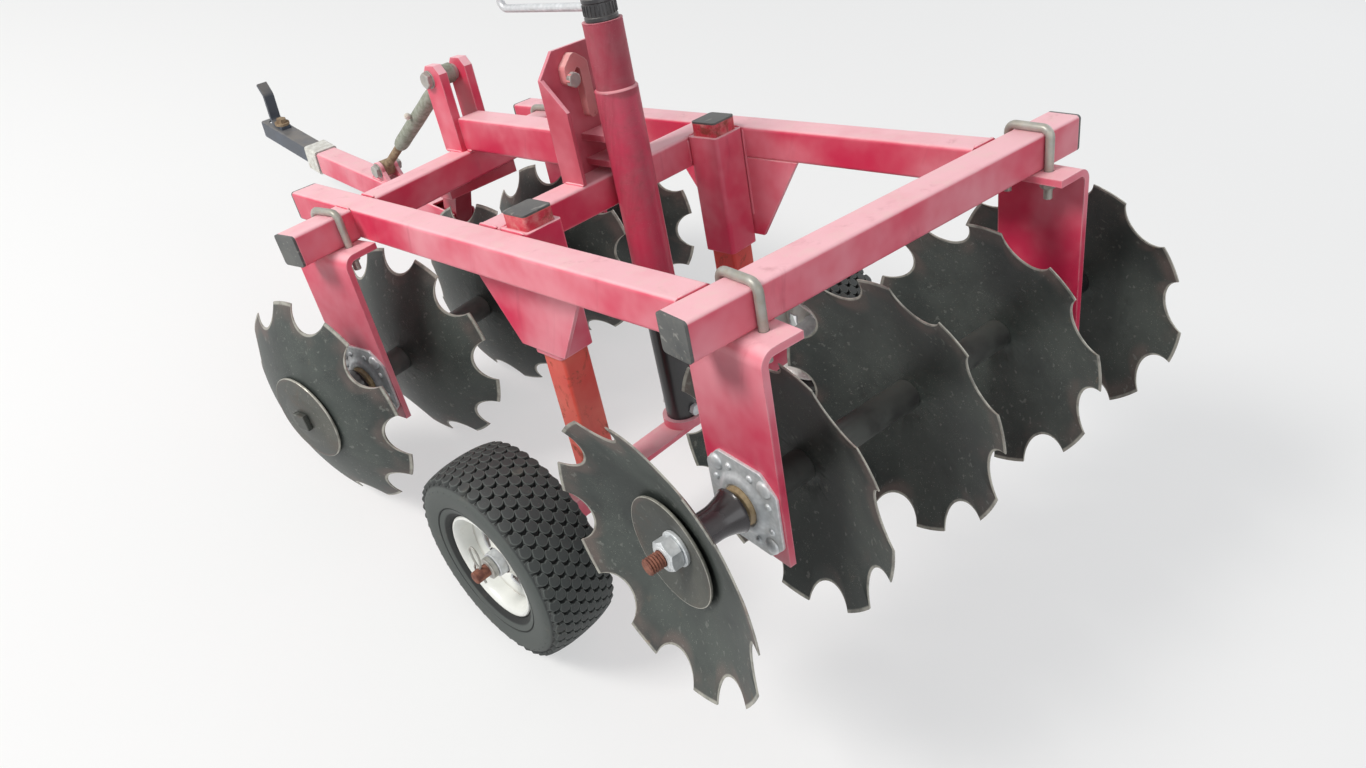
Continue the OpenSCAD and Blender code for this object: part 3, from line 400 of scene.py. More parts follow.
def jack_paint():
    s = Shader("jack_paint", (190, 34, 72), 0.46, coat=(0.12, 0.03))
    s.cloud((5, 4), 0.35, 0.7, 1, (200, 62, 92))
    # Darker red on the jack's head above its step: painted shade.
    s.layer(s.span(s.high(), 0.722, 0.728, 0, 0.7), (134, 30, 50), 0.6)
    ragged = calc(s.t, "ADD", s.high(), s.span(s.noise(16, 4), 0.2, 0.8, 0, 0.08), True)
    dirty = s.patchy(s.span(ragged, 0.45, 0.66), (24, 7, 0.7, 0.5), 0.3, 0.7, 0.15, 1)
    s.layer(s.times(dirty, 0.5), (158, 98, 104), 0.8)
    s.layer(s.patchy(dirty, (60, 6, 0.7), 0.5, 0.75, 0, 0.6), (122, 66, 66), 0.85)
    s.cloud((26, 5, 0.6, 0.4, (1, 1, 0.1)), 0.46, 0.72, 0.55, (126, 24, 46), 0.6)
    grit = s.patchy(s.specks(420), (25, 2), 0.45, 0.6, 0, 0.7)
    s.layer(grit, (214, 196, 184), 0.85)
    # Paler pink on faces that look up: bleached paint and painted sunlight.
    s.layer(s.times(s.span(s.up(), 0.45, 0.95), 0.85), (228, 160, 166), 0.7)
    rubbed = s.patchy(s.edge(), (70, 6, 0.7), 0.45, 0.62, 0, 0.7)
    s.layer(rubbed, (222, 130, 142), 0.6)
    s.bump(s.noise(160, 5), 0.0003, 0.35)
    return s.done()


def steel_disc(name, base, mid, dark, light, rim_wear):
    s = Shader(name, base, 0.44, 0.3, 0)
    s.cloud((7, 5, 0.6), 0.35, 0.7, 1, mid, 0.54)
    s.cloud((16, 7, 0.7, 0.8), 0.5, 0.78, 0.6, dark, 0.5)
    s.cloud((40, 6, 0.7), 0.6, 0.8, 0.3, (112, 98, 84), 0.75, 0)
    grit = s.patchy(s.specks(300, 0.05, 0.13), (14, 3), 0.38, 0.6, 0.05, 0.85)
    s.layer(grit, light, 0.85, 0)
    fine = s.patchy(s.specks(900, 0.08, 0.18), (26, 4), 0.4, 0.65, 0, 0.7)
    s.layer(fine, light, 0.8, 0)
    rim = s.wear()
    blush = s.patchy(s.span(rim, 0.0, 0.45), (12, 4), 0.4, 0.65, 0, 0.35)
    s.layer(blush, (126, 102, 96), 0.6, 0.2)
    worn = s.patchy(s.span(rim, 0.9, 1), (60, 5, 0.6), 0.3, 0.6, 0.45, 1)
    s.layer(s.times(worn, rim_wear), (176, 174, 164), 0.4, 0.5)
    stain = s.patchy(s.span(rim, 0.5, 0.9), (44, 6, 0.7), 0.6, 0.72, 0, 0.4)
    s.layer(stain, (138, 108, 84), 0.75, 0.1)
    s.cloud((120, 2, 0.4, 0.2, (0.2, 1, 1)), 0.66, 0.72, 0.35, (128, 130, 124), 0.4)
    s.bump(s.noise(45, 5), 0.0004, 0.3)
    s.bump(s.noise(500, 2), 0.00008, 0.4)
    return s.done()


def zinc(name, base, tint, rust):
    s = Shader(name, base, 0.34, 0.3, 0.0006)
    s.cloud((40, 4), 0.3, 0.7, 1, tint, 0.46)
    s.layer(s.span(s.cells(160), 0.2, 0.8, 0, 0.25), (150, 156, 160), 0.4)
    s.cloud((60, 6, 0.7), 0.7 - 0.2 * rust, 0.85, 0.7, (128, 104, 82), 0.75, 0.1)
    s.cloud((25, 5), 0.5, 0.75, 0.4, (196, 190, 178), 0.7, 0.1)
    s.bump(s.noise(300, 3), 0.0001, 0.4)
    return s.done()


def rusty(name, base, dark):
    s = Shader(name, base, 0.75, 0.15, 0.0006)
    s.cloud((80, 6, 0.7), 0.35, 0.65, 1, dark, 0.85)
    s.cloud((30, 4), 0.55, 0.75, 0.6, (168, 150, 128), 0.8)
    s.bump(s.noise(220, 5), 0.0004, 0.6)
    return s.done()


def black_paint(name, base, rough=0.3, top_share=0.35):
    s = Shader(name, base, rough, 0.0, 0.0008, coat=(0.25, 0.2))
    s.cloud((12, 4), 0.4, 0.7, 1, shade(base, 1.8), rough + 0.12)
    # A dusty film on the faces that look up.
    film = s.patchy(s.span(s.up(), 0.1, 0.9), (30, 5), 0.3, 0.7, top_share * 0.5, top_share)
    s.layer(film, (128, 122, 114), 0.75)
    chips = s.patchy(s.edge(0.002), (60, 5), 0.45, 0.65, 0, 0.6)
    s.layer(chips, (110, 106, 102), 0.5)
    # Grey where the wear value is high: dust, and painted sunlight on the spools between the discs.
    s.layer(s.patchy(s.wear(), (26, 5), 0.3, 0.6, 0.5, 1), (84, 86, 82), 0.55)
    s.bump(s.noise(500, 2), 0.0001, 0.4)
    return s.done()


def rubber():
    s = Shader("tyre_rubber", (38, 41, 41), 0.58, 0.0, 0)
    s.cloud((9, 4), 0.35, 0.7, 1, (52, 56, 55), 0.7)
    s.layer(s.span(s.wear(), 0.3, 0.95, 0, 0.75), (88, 93, 90), 0.76)
    # Near black where the wear value is low: painted shade in the tread's grooves and the sidewall's groove
    # ring.
    s.layer(s.span(s.wear(), 0.05, 0.2, 0.75, 0), (17, 18, 18), 0.8)
    s.cloud((22, 6, 0.65), 0.58, 0.82, 0.4, (122, 114, 100), 0.88)
    s.layer(s.patchy(s.specks(330), (20, 2), 0.5, 0.65, 0, 0.6), (160, 152, 138), 0.9)
    s.bump(s.noise(420, 3), 0.00015, 0.5)
    return s.done()


def rim_paint():
    s = Shader("rim_paint", (226, 227, 222), 0.3, 0.0, 0.0008, coat=(0.2, 0.2))
    s.cloud((14, 4), 0.4, 0.75, 0.5, (200, 202, 197), 0.45)
    s.cloud((34, 7, 0.7, 0.5), 0.62, 0.82, 0.6, (168, 158, 138), 0.75)
    s.layer(s.span(s.wear(), 0.3, 1, 0, 0.4), (150, 142, 124), 0.65)
    chips = s.patchy(s.edge(0.002), (60, 5), 0.5, 0.65, 0, 0.7)
    s.layer(chips, (140, 96, 70), 0.8)
    s.bump(s.noise(400, 3), 0.0001, 0.35)
    return s.done()


def plastic():
    s = Shader("cap_plastic", (74, 76, 76), 0.5, 0.0, 0.0015)
    s.cloud((18, 5), 0.3, 0.75, 0.8, (104, 105, 102), 0.62)
    s.cloud((70, 6, 0.7), 0.5, 0.75, 0.5, (138, 134, 126), 0.75)
    s.cloud((110, 2, 0.4, 0.2, (0.3, 1, 1)), 0.62, 0.7, 0.5, (160, 158, 152), 0.6)
    s.bump(s.noise(350, 4), 0.0002, 0.5)
    return s.done()


RED = (208, 40, 78)
BRACKET_RED = (212, 42, 82)
# Paler red of the tops: bleached paint and painted sunlight.
FADED_AND_LIT = (244, 190, 197)
M = {
    "frame": red_paint("frame_paint", RED, FADED_AND_LIT, top_share=0.95, wear=0.5, rough=0.4),
    "bracket": red_paint("bracket_paint", BRACKET_RED, FADED_AND_LIT, top_share=0.9, wear=0.55, rough=0.38),
    # The tower's red is a darker copy of the frame red: painted shade on the tower's web.
    "tower": red_paint("tower_paint", (172, 22, 54), (236, 160, 172), top_share=0.85, wear=0.5, rough=0.45),
    "leg": red_paint("leg_paint", (206, 50, 42), (240, 142, 120), top_share=0.7, wear=0.95, rough=0.42, rust=0.5,
                     dusty=(226, 176, 168), above=(196, 44, 68)),
    "strap_red": red_paint("strap_paint", (206, 108, 114), (228, 184, 178), top_share=0.9, wear=0.8, rough=0.6,
                           rust=0.25),
    "jack": jack_paint(),
    "disc": steel_disc("disc_steel", (52, 57, 55), (74, 80, 76), (38, 42, 42), (190, 188, 176), 0.9),
    "cup": steel_disc("cup_steel", (66, 69, 66), (90, 90, 83), (84, 68, 58), (180, 176, 162), 1),
    "zinc": zinc("zinc_plate", (226, 229, 230), (204, 208, 210), 0.1),
    "rod": zinc("rod_zinc", (172, 170, 160), (148, 144, 132), 0.5),
    "old_zinc": zinc("old_zinc", (186, 184, 178), (156, 152, 144), 0.6),
    "crank": zinc("crank_plate", (216, 218, 220), (198, 200, 202), 0.05),
    "black": black_paint("black_paint", (30, 30, 32)),
    "spool": black_paint("gang_black", (28, 22, 28), 0.16, 0.15),
    "tongue": black_paint("tongue_black", (58, 64, 74), 0.5, 0.7),
    "rust": rusty("rusty_steel", (142, 92, 74), (104, 64, 54)),
    "tan": rusty("tan_steel", (158, 138, 112), (126, 104, 82)),
    "barrel": rusty("turnbuckle_grey", (160, 164, 152), (132, 136, 122)),
    "collar": rusty("collar_white", (222, 222, 216), (196, 194, 186)),
    "ball": rusty("ball_white", (226, 224, 216), (206, 202, 192)),
    "seal": rusty("seal_tan", (176, 156, 120), (140, 118, 88)),
    "rubber": rubber(),
    "rim": rim_paint(),
    "cap": plastic(),
}
CAD_LOOK = {
    "frame": ["rail_left", "rail_right", "rear_beam", "front_beam", "middle_beam", "spine", "masts"],
    "bracket": ["gussets", "rear_hangers", "front_hangers", "foot_bar", "jack_foot", "drawbar_tube",
                "drawbar_ears", "sleeves", "arm_left", "arm_right"],
    "tower": ["tower", "jack_bracket", "hitch_bracket"],
    "jack": ["jack_tube"],
    "leg": ["leg_left", "leg_right"],
    "strap_red": ["tower_strap"],
    "black": ["jack_inner"],
    "cap": ["tube_caps", "leg_caps"],
    "zinc": ["u_bolts", "bearing_flanges", "jack_bolt", "drawbar_pin", "ear_bolt"],
    "old_zinc": ["mast_bolt", "spindle_collars"],
    "crank": ["jack_crank"],
    "rubber": ["tyre_left", "tyre_right"],
    "rim": ["rim_left", "rim_right", "hub_left", "hub_right"],
    "disc": ["rear_discs", "front_discs"],
    "cup": ["rear_gang_bolt", "front_gang_bolt"],
    "spool": ["rear_spools", "front_spools"],
    "tan": ["tongue_bolt", "turnbuckle_rod"],
    "barrel": ["turnbuckle_barrel"],
    "collar": ["drawbar_collar"],
    "tongue": ["drawbar_tongue", "hitch_strap"],
}
for look_name, node_names in CAD_LOOK.items():
    for node_name in node_names:
        slots = nodes[node_name].data.materials
        if len(slots) == 0:
            slots.append(M[look_name])
        for i in range(len(slots)):
            slots[i] = M[look_name]


# Mesh tools
class Piece:
    """Collects faces in millimetres, each under a place, and becomes one object in metres."""

    def __init__(self, name, body, material, slot, stands_for=()):
        self.name = name
        self.body = body
        self.slot = slot
        self.stands_for = stands_for
        self.bm = bmesh.new()
        # The wear value also carries painted shade on the tyre and painted sunlight on the spools.
        self.wear = self.bm.verts.layers.float.new("wear")
        self.materials = [material]
        self.index = 0

    def use(self, material):
        """Sets the material of the faces that follow."""
        if material not in self.materials:
            self.materials.append(material)
        self.index = self.materials.index(material)

    def verts(self, place, points, wear=None):
        """Adds points, with one wear for all of them or a list of one for each."""
        made = []
        for i, p in enumerate(points):
            v = self.bm.verts.new(place @ Vector(p))
            if wear is not None:
                v[self.wear] = wear[i] if isinstance(wear, list) else wear
            made.append(v)
        return made

    def face(self, vs, flip=False):
        try:
            f = self.bm.faces.new(vs[::-1] if flip else vs)
        except ValueError:
            return
        f.material_index = self.index
        f.smooth = True

    def rings(self, place, rings, closed=True, wear=None, ends=False):
        """Joins rings of equal length; closed joins the last to the first, ends fills both ends."""
        flip = place.determinant() < 0
        made = [self.verts(place, ring, wear[k] if wear else None) for k, ring in enumerate(rings)]
        n = len(rings[0])
        for k in range(len(made) if closed else len(made) - 1):
            a = made[k]
            b = made[(k + 1) % len(made)]
            for i in range(n):
                j = (i + 1) % n
                self.face([a[i], a[j], b[j], b[i]], flip)
        if ends:
            self.face(made[0][::-1], flip)
            self.face(made[-1], flip)
        return made

    def lathe(self, place, profile, steps=48, closed=False, wear=None):
        """Turns (along x, radius) points around X; an open profile starts and ends at the axis."""
        rings = [[polar(x, max(r, 0.01), a) for a in circle(steps)] for x, r in profile]
        self.rings(place, rings, closed, wear)

    def hexagon(self, place, af, x0, x1, bore=0.01):
        """A nut or bolt head along X, af across its flats, chamfered at both ends."""
        c = af * 0.475

        def reach(a):
            return af / 2 / math.cos((a + math.pi / 6) % (math.pi / 3) - math.pi / 6)

        def chamfer(a):
            return (reach(a) - c) * 0.6
        angles = circle(36)
        rows = [[polar(x0, r, a) for a in angles] for r in (bore, c)]
        rows.append([polar(x0 + chamfer(a), reach(a), a) for a in angles])
        rows.append([polar(x1 - chamfer(a), reach(a), a) for a in angles])
        rows += [[polar(x1, r, a) for a in angles] for r in (c, bore)]
        self.rings(place, rows, closed=bore > 0.01)

    def thread(self, place, r, x0, x1, pitch=2.5, depth=1.0, steps=28):
        """A threaded rod, as rings of crests and roots."""
        n = max(2, int((x1 - x0) / pitch * 4))
        profile = [(x0, 0.01), (x0, r - depth * 1.6)]
        for i in range(n + 1):
            x = x0 + (x1 - x0) * i / n
            profile.append((x, r - depth * (0.5 + 0.5 * math.cos(math.pi * i / 2))))
        profile.append((x1, 0.01))
        self.lathe(place, profile, steps)

    def sweep(self, place, path, radius, steps=16, caps=True):
        """A round bar along a path of points, with one radius or a list of one for each."""
        pts = [Vector(p) for p in path]
        rings = []
        side = None
        for i, p in enumerate(pts):
            a = pts[max(i - 1, 0)]
            b = pts[min(i + 1, len(pts) - 1)]
            d = (b - a).normalized()
            if side is None:
                side = d.orthogonal().normalized()
            side = (side - d * side.dot(d)).normalized()
            up = d.cross(side)
            r = radius[i] if isinstance(radius, list) else radius
            rings.append([tuple(p + side * r * math.cos(t) + up * r * math.sin(t)) for t in circle(steps)])
        self.rings(place, rings, closed=False, ends=caps)

    def bead(self, place, a, b, r):
        """A rippled weld bead from a to b, thinner at its ends."""
        a = Vector(a)
        b = Vector(b)
        length = (b - a).length
        n = max(6, int(length / 1.6))
        path = []
        radii = []
        for i in range(n + 1):
            t = i / n
            p = a.lerp(b, t)
            j = noise.noise(p * 0.12) * 0.7
            p = p + Vector((j, j * 0.6, -j * 0.5)) * 0.6
            path.append(p)
            ripple = 0.86 + 0.14 * abs(math.sin(math.pi * t * length / 4.2))
            fade = min(1, 0.35 + 3.5 * min(t, 1 - t) * length / 20)
            radii.append(r * ripple * fade * (1 + 0.12 * noise.noise(p * 0.3)))
        self.sweep(place, path, radii, 10)

    def done(self, angle=32):
        """Makes the object, with edges sharper than the angle left sharp."""
        bmesh.ops.recalc_face_normals(self.bm, faces=self.bm.faces[:])
        for e in self.bm.edges:
            if len(e.link_faces) == 2 and e.calc_face_angle(0) > math.radians(angle):
                e.smooth = False
        mesh = bpy.data.meshes.new(self.name)
        self.bm.to_mesh(mesh)
        self.bm.free()
        for m in self.materials:
            mesh.materials.append(M[m])
        obj = bpy.data.objects.new(self.name, mesh)
        scene.collection.objects.link(obj)
        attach(obj, self.body)
        if self.stands_for:
            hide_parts(*self.stands_for)


# Wheels
TREAD_ROWS = 44
TREAD_COLUMNS = 8
COLUMN_PITCH = 13.7
TREAD_DEPTH = 6.2
TREAD_HALF = 56.5
SHOULDER = 51.5
SLOT_INNER = 43
SLOT_OUTER = 62
SLOT_HALF_ANGLE = 17
RIM_STEPS = 96


def casing_radius(x):
    """Radius of the tyre's casing under the tread."""
    x = min(abs(x), 62)
    return 158.5 - 5.5 * (x / 50) ** 2.4


def tyre(side):
    p = Piece("tyre_tread_" + side, "wheel_" + side, "rubber", "tyre", ["tyre_" + side])
    place = WHEEL[side]
    wall = [(43, 82.8), (43.6, 88.4), (45.0, 91.8), (49.4, 92.6), (51.6, 94.6), (53.4, 97.2), (55, 99.8),
            (56.2, 102), (57.6, 106), (58.6, 109.2), (57.2, 110.2), (57.4, 111.4), (59.4, 112.4), (60.9, 119),
            (61.9, 127), (62.2, 133), (61.9, 138), (60.6, 143), (58.2, 147.4), (54.5, 150.6), (50, 152.4)]
    half = wall + [(x, casing_radius(x)) for x in (44, 36, 26, 14, 0)]
    inner = [(-30, 81.2), (30, 81.2)]
    profile = half + [(-x, r) for x, r in half[-2::-1]] + inner
    # Wear 0 on the crown between the blocks and in the sidewall's groove ring gives painted shade there.
    wear = [0.0 if abs(x) < 56 or 109.5 < r < 112 else 0.75 for x, r in profile]
    p.lathe(place, profile, RIM_STEPS, closed=True, wear=wear)
    pitch = 2 * math.pi / TREAD_ROWS
    for j in range(TREAD_COLUMNS):
        for i in range(TREAD_ROWS):
            block(p, place, COLUMN_PITCH * (j - (TREAD_COLUMNS - 1) / 2), (i + 0.5 * (j % 2)) * pitch)
    for s in (-1, 1):
        for i in range(2 * TREAD_ROWS):
            lug(p, place, s, (0.5 * i + 0.25) * pitch, i % 2)
    p.done(40)


def block(p, place, xc, mid):
    """One tread block: a hexagon across, arched at one end and hollowed at the other."""
    shape = [(-7.9, 0.6), (-7.0, 4.6), (-3.9, 8.2), (0, 9.2), (3.9, 8.2), (7.0, 4.6), (7.9, 0.6), (5.5, -7.4),
             (3.7, -8.3), (0, -6.2), (-3.7, -8.3), (-5.5, -7.4)]
    levels = ((0.9, -1.2), (0.1, TREAD_DEPTH - 0.9), (-0.6, TREAD_DEPTH), (-1.9, TREAD_DEPTH + 0.1))
    rings = []
    for grow, h in levels:
        ring = []
        for x, t in shape:
            k = 1.08 + grow / 8
            xx = max(-TREAD_HALF, min(TREAD_HALF, xc + x * k))
            ring.append(polar(xx, casing_radius(xx) + h, mid + t * k / 162))
        rings.append(ring)
    # The block's foot gets wear 0, for painted shade at the bottom of the grooves.
    made = p.rings(place, rings, closed=False, wear=[0.0, 0.5, 1.0, 0.42])
    p.face(made[-1], place.determinant() < 0)


def lug(p, place, s, mid, short):
    """One tooth of the shoulder."""
    end = 58.2 if short else 61.4
    shape = [(50.5, -4.1), (end, -2.2), (end, 2.2), (50.5, 4.1)]
    rings = []
    for grow, h in ((0.8, -3.5), (0.0, 3.6)):
        ring = []
        for x, t in shape:
            drop = 1.45 * max(0, x - SHOULDER)
            ring.append(polar(s * x, casing_radius(SHOULDER) + h - drop, mid + t * (1 + grow / 6) / 155))
        rings.append(ring)
    # The tooth's foot gets wear 0, for painted shade in the grooves.
    p.rings(place, rings, closed=False, wear=[0.0, 0.8])
    p.face(p.verts(place, rings[-1], 0.8), place.determinant() < 0)


def dish(r, a):
    """How far out the wheel's pressed face lies."""
    x = 24 - 12 * math.exp(-((r - 53) / 15) ** 2) + (7 if r < 30 else 0) * (30 - r) / 7
    if 40 < r < 68:
        x += 1.6 * math.cos(4 * a) * math.sin(math.pi * (r - 40) / 28)
    return x


def rim(side):
    p = Piece("rim_dish_" + side, "wheel_" + side, "rim", "rim_white", ["rim_" + side, "hub_" + side])
    place = WHEEL[side]
    half = [(44, 86), (45.6, 89.6), (48.2, 90.6), (50.2, 89.0), (50.6, 86.2), (48.4, 82.6), (43, 79.4),
            (34, 77.4), (20, 76.2), (0, 75.6)]
    back = [(-40, 82), (-30, 80), (-18, 79), (0, 78.6), (18, 79), (30, 80), (40, 82)]
    profile = half + [(-x, r) for x, r in half[-2::-1]] + back
    p.lathe(place, profile, RIM_STEPS, closed=True)
    for thick in (0, -2.6):
        dish_face(p, place, thick)
    p.use("crank")
    for q in range(4):
        slot_edge(p, place, q * 90)
    hub = [(-44.5, 10), (-44.5, 21.2), (-43.5, 22), (8, 22), (10, 24.5), (13, 24.5), (15, 21.5), (43.5, 20.6),
           (44.5, 19.6), (44.5, 10)]
    p.lathe(place, hub, 40, closed=True)
    p.done(38)


def dish_face(p, place, thick):
    """One face of the pressed disc, open at its four slots."""
    flip = place.determinant() < 0
    radii = [76.4, 74, 70, 66, 61, 56, 50, 44, 38, 33, 29, 26.5, 24.5, 23]
    made = []
    for r in radii:
        wear = 0.8 if r > 70 else 0.25 + 0.4 * (40 > r)
        made.append(p.verts(place, [polar(dish(r, a) + thick, r, a) for a in circle(RIM_STEPS)], wear))
    for k in range(len(made) - 1):
        mid_r = (radii[k] + radii[k + 1]) / 2
        for i in range(RIM_STEPS):
            from_slot = ((i + 0.5) * 360 / RIM_STEPS + 45) % 90 - 45
            if SLOT_INNER < mid_r < SLOT_OUTER and abs(from_slot) < SLOT_HALF_ANGLE:
                continue
            j = (i + 1) % RIM_STEPS
            p.face([made[k][i], made[k][j], made[k + 1][j], made[k + 1][i]], flip)


def slot_edge(p, place, degrees):
    """Rolled edge around one slot of the rim."""
    outline = [(43.5, t) for t in range(-16, 17, 2)] + [(r, 17.5) for r in range(46, 61, 3)]
    outline += [(62.0, t) for t in range(16, -17, -2)] + [(r, -17.5) for r in range(60, 45, -3)]
    pts = []
    for r, a in outline + outline[:2]:
        t = math.radians(degrees + a)
        pts.append(polar(dish(r, t) - 1.2, r, t))
    p.sweep(place, pts, 2.0, 8, caps=False)


def wheel_trim(side):
    """Rusty spindle end, washer and hairpin, on the lift, and the valve on the wheel."""
    p = Piece("spindle_trim_" + side, "lift", "rust", "rusty_steel")
    place = WHEEL[side]
    p.lathe(place, [(54.6, 0.01), (54.6, 10.1), (76.8, 10.1), (78, 8.8), (78.2, 0.01)], 28)
    p.use("old_zinc")
    washer = [(51.7, 9.8), (51.7, 16.8), (52.3, 17.4), (53.8, 17.4), (54.4, 16.8), (54.4, 9.8)]
    p.lathe(place, washer, 32, closed=True)
    p.sweep(place, [(65, -3, -17), (65, -1.5, -10), (65, 0, 0), (65, 0, 13)], 1.9, 10)
    loop = [(65 + 0.6 * math.sin(t), 9 * math.sin(t) * (1 - 0.25 * math.cos(t)), 32 - 20 * math.cos(t))
            for t in (2 * math.pi * k / 28 for k in range(29))]
    p.sweep(place, loop, 1.7, 10, caps=False)
    p.sweep(place, [(65, 8, 17), (66, 12.5, 8), (66.5, 13, -2), (66, 11.5, -10)], 1.7, 10)
    p.done()
    v = Piece("valve_" + side, "wheel_" + side, "black", "tyre")
    stem = place @ turn("X", 118) @ move(24, 0, 76.5) @ turn("Y", -62)
    v.lathe(stem, [(-6, 0.01), (-6, 5.2), (4, 4.6), (10, 3.6), (22, 3.2), (22.5, 4.0), (30, 3.9), (31, 3.0),
                   (31, 0.01)], 18)
    v.done()


for side_name in ("left", "right"):
    tyre(side_name)
    rim(side_name)
    wheel_trim(side_name)


# Disc gangs
def edge_radius(degrees):
    """Radius of the notched edge at an angle from a notch's middle."""
    t = math.radians(degrees)
    inside = NOTCH_RADIUS ** 2 - (NOTCH_CENTRE * math.sin(t)) ** 2
    if inside <= 0:
        return DISC_RADIUS
    return min(DISC_RADIUS, NOTCH_CENTRE * math.cos(t) - math.sqrt(inside))


def disc_edge():
    """Angles and radii around one disc, denser towards the cusps of its notches."""
    half = [0, 2.2, 4.2, 6.0, 7.6, 9.0, 10.1, 10.9, 11.4, 11.75, 11.96, 12.5, 14.5, 17]
    out = []
    for n in range(NOTCHES):
        for v in [-v for v in half[:0:-1]] + half + [20]:
            out.append((math.radians(110 + n * 360 / NOTCHES + v), edge_radius(v)))
    return out


EDGE = disc_edge()


def sag(r):
    """How far the dished disc falls back from its flat middle at a radius."""
    if r < 34:
        return 0.0
    if r < 38:
        return (r - 34) / 4 * (SPHERE - math.sqrt(SPHERE ** 2 - 38 ** 2))
    return SPHERE - math.sqrt(SPHERE ** 2 - r * r)


def discs(name, place, body, node, places, turns):
    p = Piece(name, body, "disc", "disc_steel", [node])
    shares = [0, 0.06, 0.12, 0.15, 0.2, 0.3, 0.42, 0.55, 0.68, 0.8, 0.9, 0.955, 0.985, 1.0]
    wear = [max(0.0, min(1.0, (f - 0.86) / 0.12)) for f in shares]
    for x, spin in zip(places, turns):
        at = place @ move(x, 0, -GANG_DROP) @ turn("X", spin)
        faces = []
        for thick, ground in ((HALF_PLATE, 0.2), (-HALF_PLATE, 0.75)):
            rings = []
            for f in shares:
                lip = 1 - ground * max(0, (f - 0.9) / 0.1)
                ring = []
                for a, edge in EDGE:
                    r = GANG_BORE + (edge - GANG_BORE) * f
                    ring.append(polar(-sag(r) + thick * lip, r, a))
                rings.append(ring)
            faces.append(p.rings(at, rings, closed=False, wear=wear))
        for k in (-1, 0):
            join_loops(p, faces[0][k], faces[1][k])
    p.done(30)


def join_loops(p, a, b):
    """Joins the two faces of a disc, point by point, along its rim or its bore."""
    for i in range(len(a)):
        p.face([a[i - 1], a[i], b[i], b[i - 1]])


def spool_ends(a, b, way):
    """Outline of a plain spool from a to b, each end with a small chamfer."""
    chamfer = way * 0.8
    return [(a, GANG_BORE), (a, 21.4), (a + chamfer, SPOOL_RADIUS), (b - chamfer, SPOOL_RADIUS), (b, 21.4),
            (b, GANG_BORE)]


def spools(name, place, body, node, places):
    """Journals with their bells, and the plain spools between the middle discs."""
    p = Piece(name, body, "spool", "gang_black", [node])
    at = place @ move(0, 0, -GANG_DROP)
    bells = ((HANGERS[0], -1, places[0] + HALF_PLATE, places[1] - HALF_PLATE),
             (HANGERS[1], 1, places[4] - HALF_PLATE, places[3] + HALF_PLATE))
    for face, way, outer, inner in bells:
        a = face + way * 21
        b = face - way * 15
        curve = [(a + way * 34 * t, SPOOL_RADIUS + 9 * (1 - t) ** 1.7)
                 for t in (1, 0.85, 0.7, 0.55, 0.4, 0.27, 0.15, 0.06)]
        journal = [(a + way * 1.2, 31), (a + way * 0.2, 30.4), (a, 29), (a, 17.5), (b, 17.5), (b, 21.2),
                   (b - way * 0.9, 22)]
        ends = spool_ends(outer, inner, -way)
        pts = ends[:3] + curve + journal + ends[3:]
        # The bell stays black and the spool towards the inner disc turns grey: dust and painted sunlight.
        wear = [0.0 if k < 16 else 0.8 for k in range(len(pts))]
        p.lathe(at, pts, 56, closed=True, wear=wear)
    for i in (1, 2):
        pts = spool_ends(places[i] + HALF_PLATE, places[i + 1] - HALF_PLATE, 1)
        p.lathe(at, pts, 56, closed=True, wear=[0.9] * 6)
    p.done(28)


def cup(p, at, back, depth, flat):
    """Dished washer with its back at x = back and its rim towards -X."""
    big = (75 ** 2 + depth ** 2) / (2 * depth)

    def drop(r):
        return big - math.sqrt(big * big - r * r) if r > flat else 0.0
    rounds = [flat + (74 - flat) * k / 7 for k in range(1, 8)]
    front = [(back - 4, GANG_BORE), (back - 4, flat)] + [(back - 4 - drop(r), r) for r in rounds]
    lip = [(back - 3.4 - drop(74.8), 74.8), (back - 1.6 - drop(75), 75), (back - 0.5 - drop(74.6), 74.6)]
    rear = [(back - drop(r), r) for r in reversed(rounds)] + [(back, flat), (back, GANG_BORE)]
    profile = front + lip + rear
    p.lathe(at, profile, 72, closed=True, wear=[1.0 if r > 73.8 else 0.0 for x, r in profile])


def gang_bolt(name, place, body, node, shift):
    """The long bolt with its cups, its nut and washers on one end and its square head on the other."""
    p = Piece(name, body, "cup", "disc_steel", [node])
    at = place @ move(shift, 0, -GANG_DROP)
    cup_back = REAR_DISCS[0] - HALF_PLATE
    cup(p, at, cup_back, 13, 28)
    p.use("zinc")
    f = cup_back - 4
    flat_washer = [(f, GANG_BORE), (f, 23.4), (f - 0.8, 24), (f - 4.2, 24), (f - 5, 23.2), (f - 5, GANG_BORE)]
    p.lathe(at, flat_washer, 48, closed=True)
    p.hexagon(at, 38.5, f - 23, f - 5, GANG_BORE)
    n = f - 22.5
    collar = [(n - 1.7, GANG_BORE), (n - 1.7, 14.6), (n - 0.9, 16.2), (n, 16.6), (n, GANG_BORE)]
    p.lathe(at, collar, 36, closed=True)
    p.use("rust")
    p.thread(at, 11.2, f - 46, f - 20, 3.6, 1.7)
    p.use("cup")
    h = REAR_DISCS[-1] + HALF_PLATE + 4
    cup(p, at, h, 4, 40)
    square_head(p, at @ move(h, 0, 0) @ turn("Y", 90), 14, 9, 1.2)
    p.use("spool")
    p.lathe(at, [(f - 20, 0.01), (f - 20, 10.6), (h - 1, 10.6), (h - 1, 0.01)], 20)
    p.done(30)


def square_head(p, place, half, height, chamfer):
    """The gang bolt's head, from z = 0 to its height."""
    corners = ((-1, -1), (1, -1), (1, 1), (-1, 1))
    levels = ((0, chamfer), (chamfer, 0), (height - chamfer, 0), (height, chamfer))
    rings = [[(s * (half - inset), t * (half - inset), z) for s, t in corners] for z, inset in levels]
    p.rings(place, rings, closed=False, ends=True)


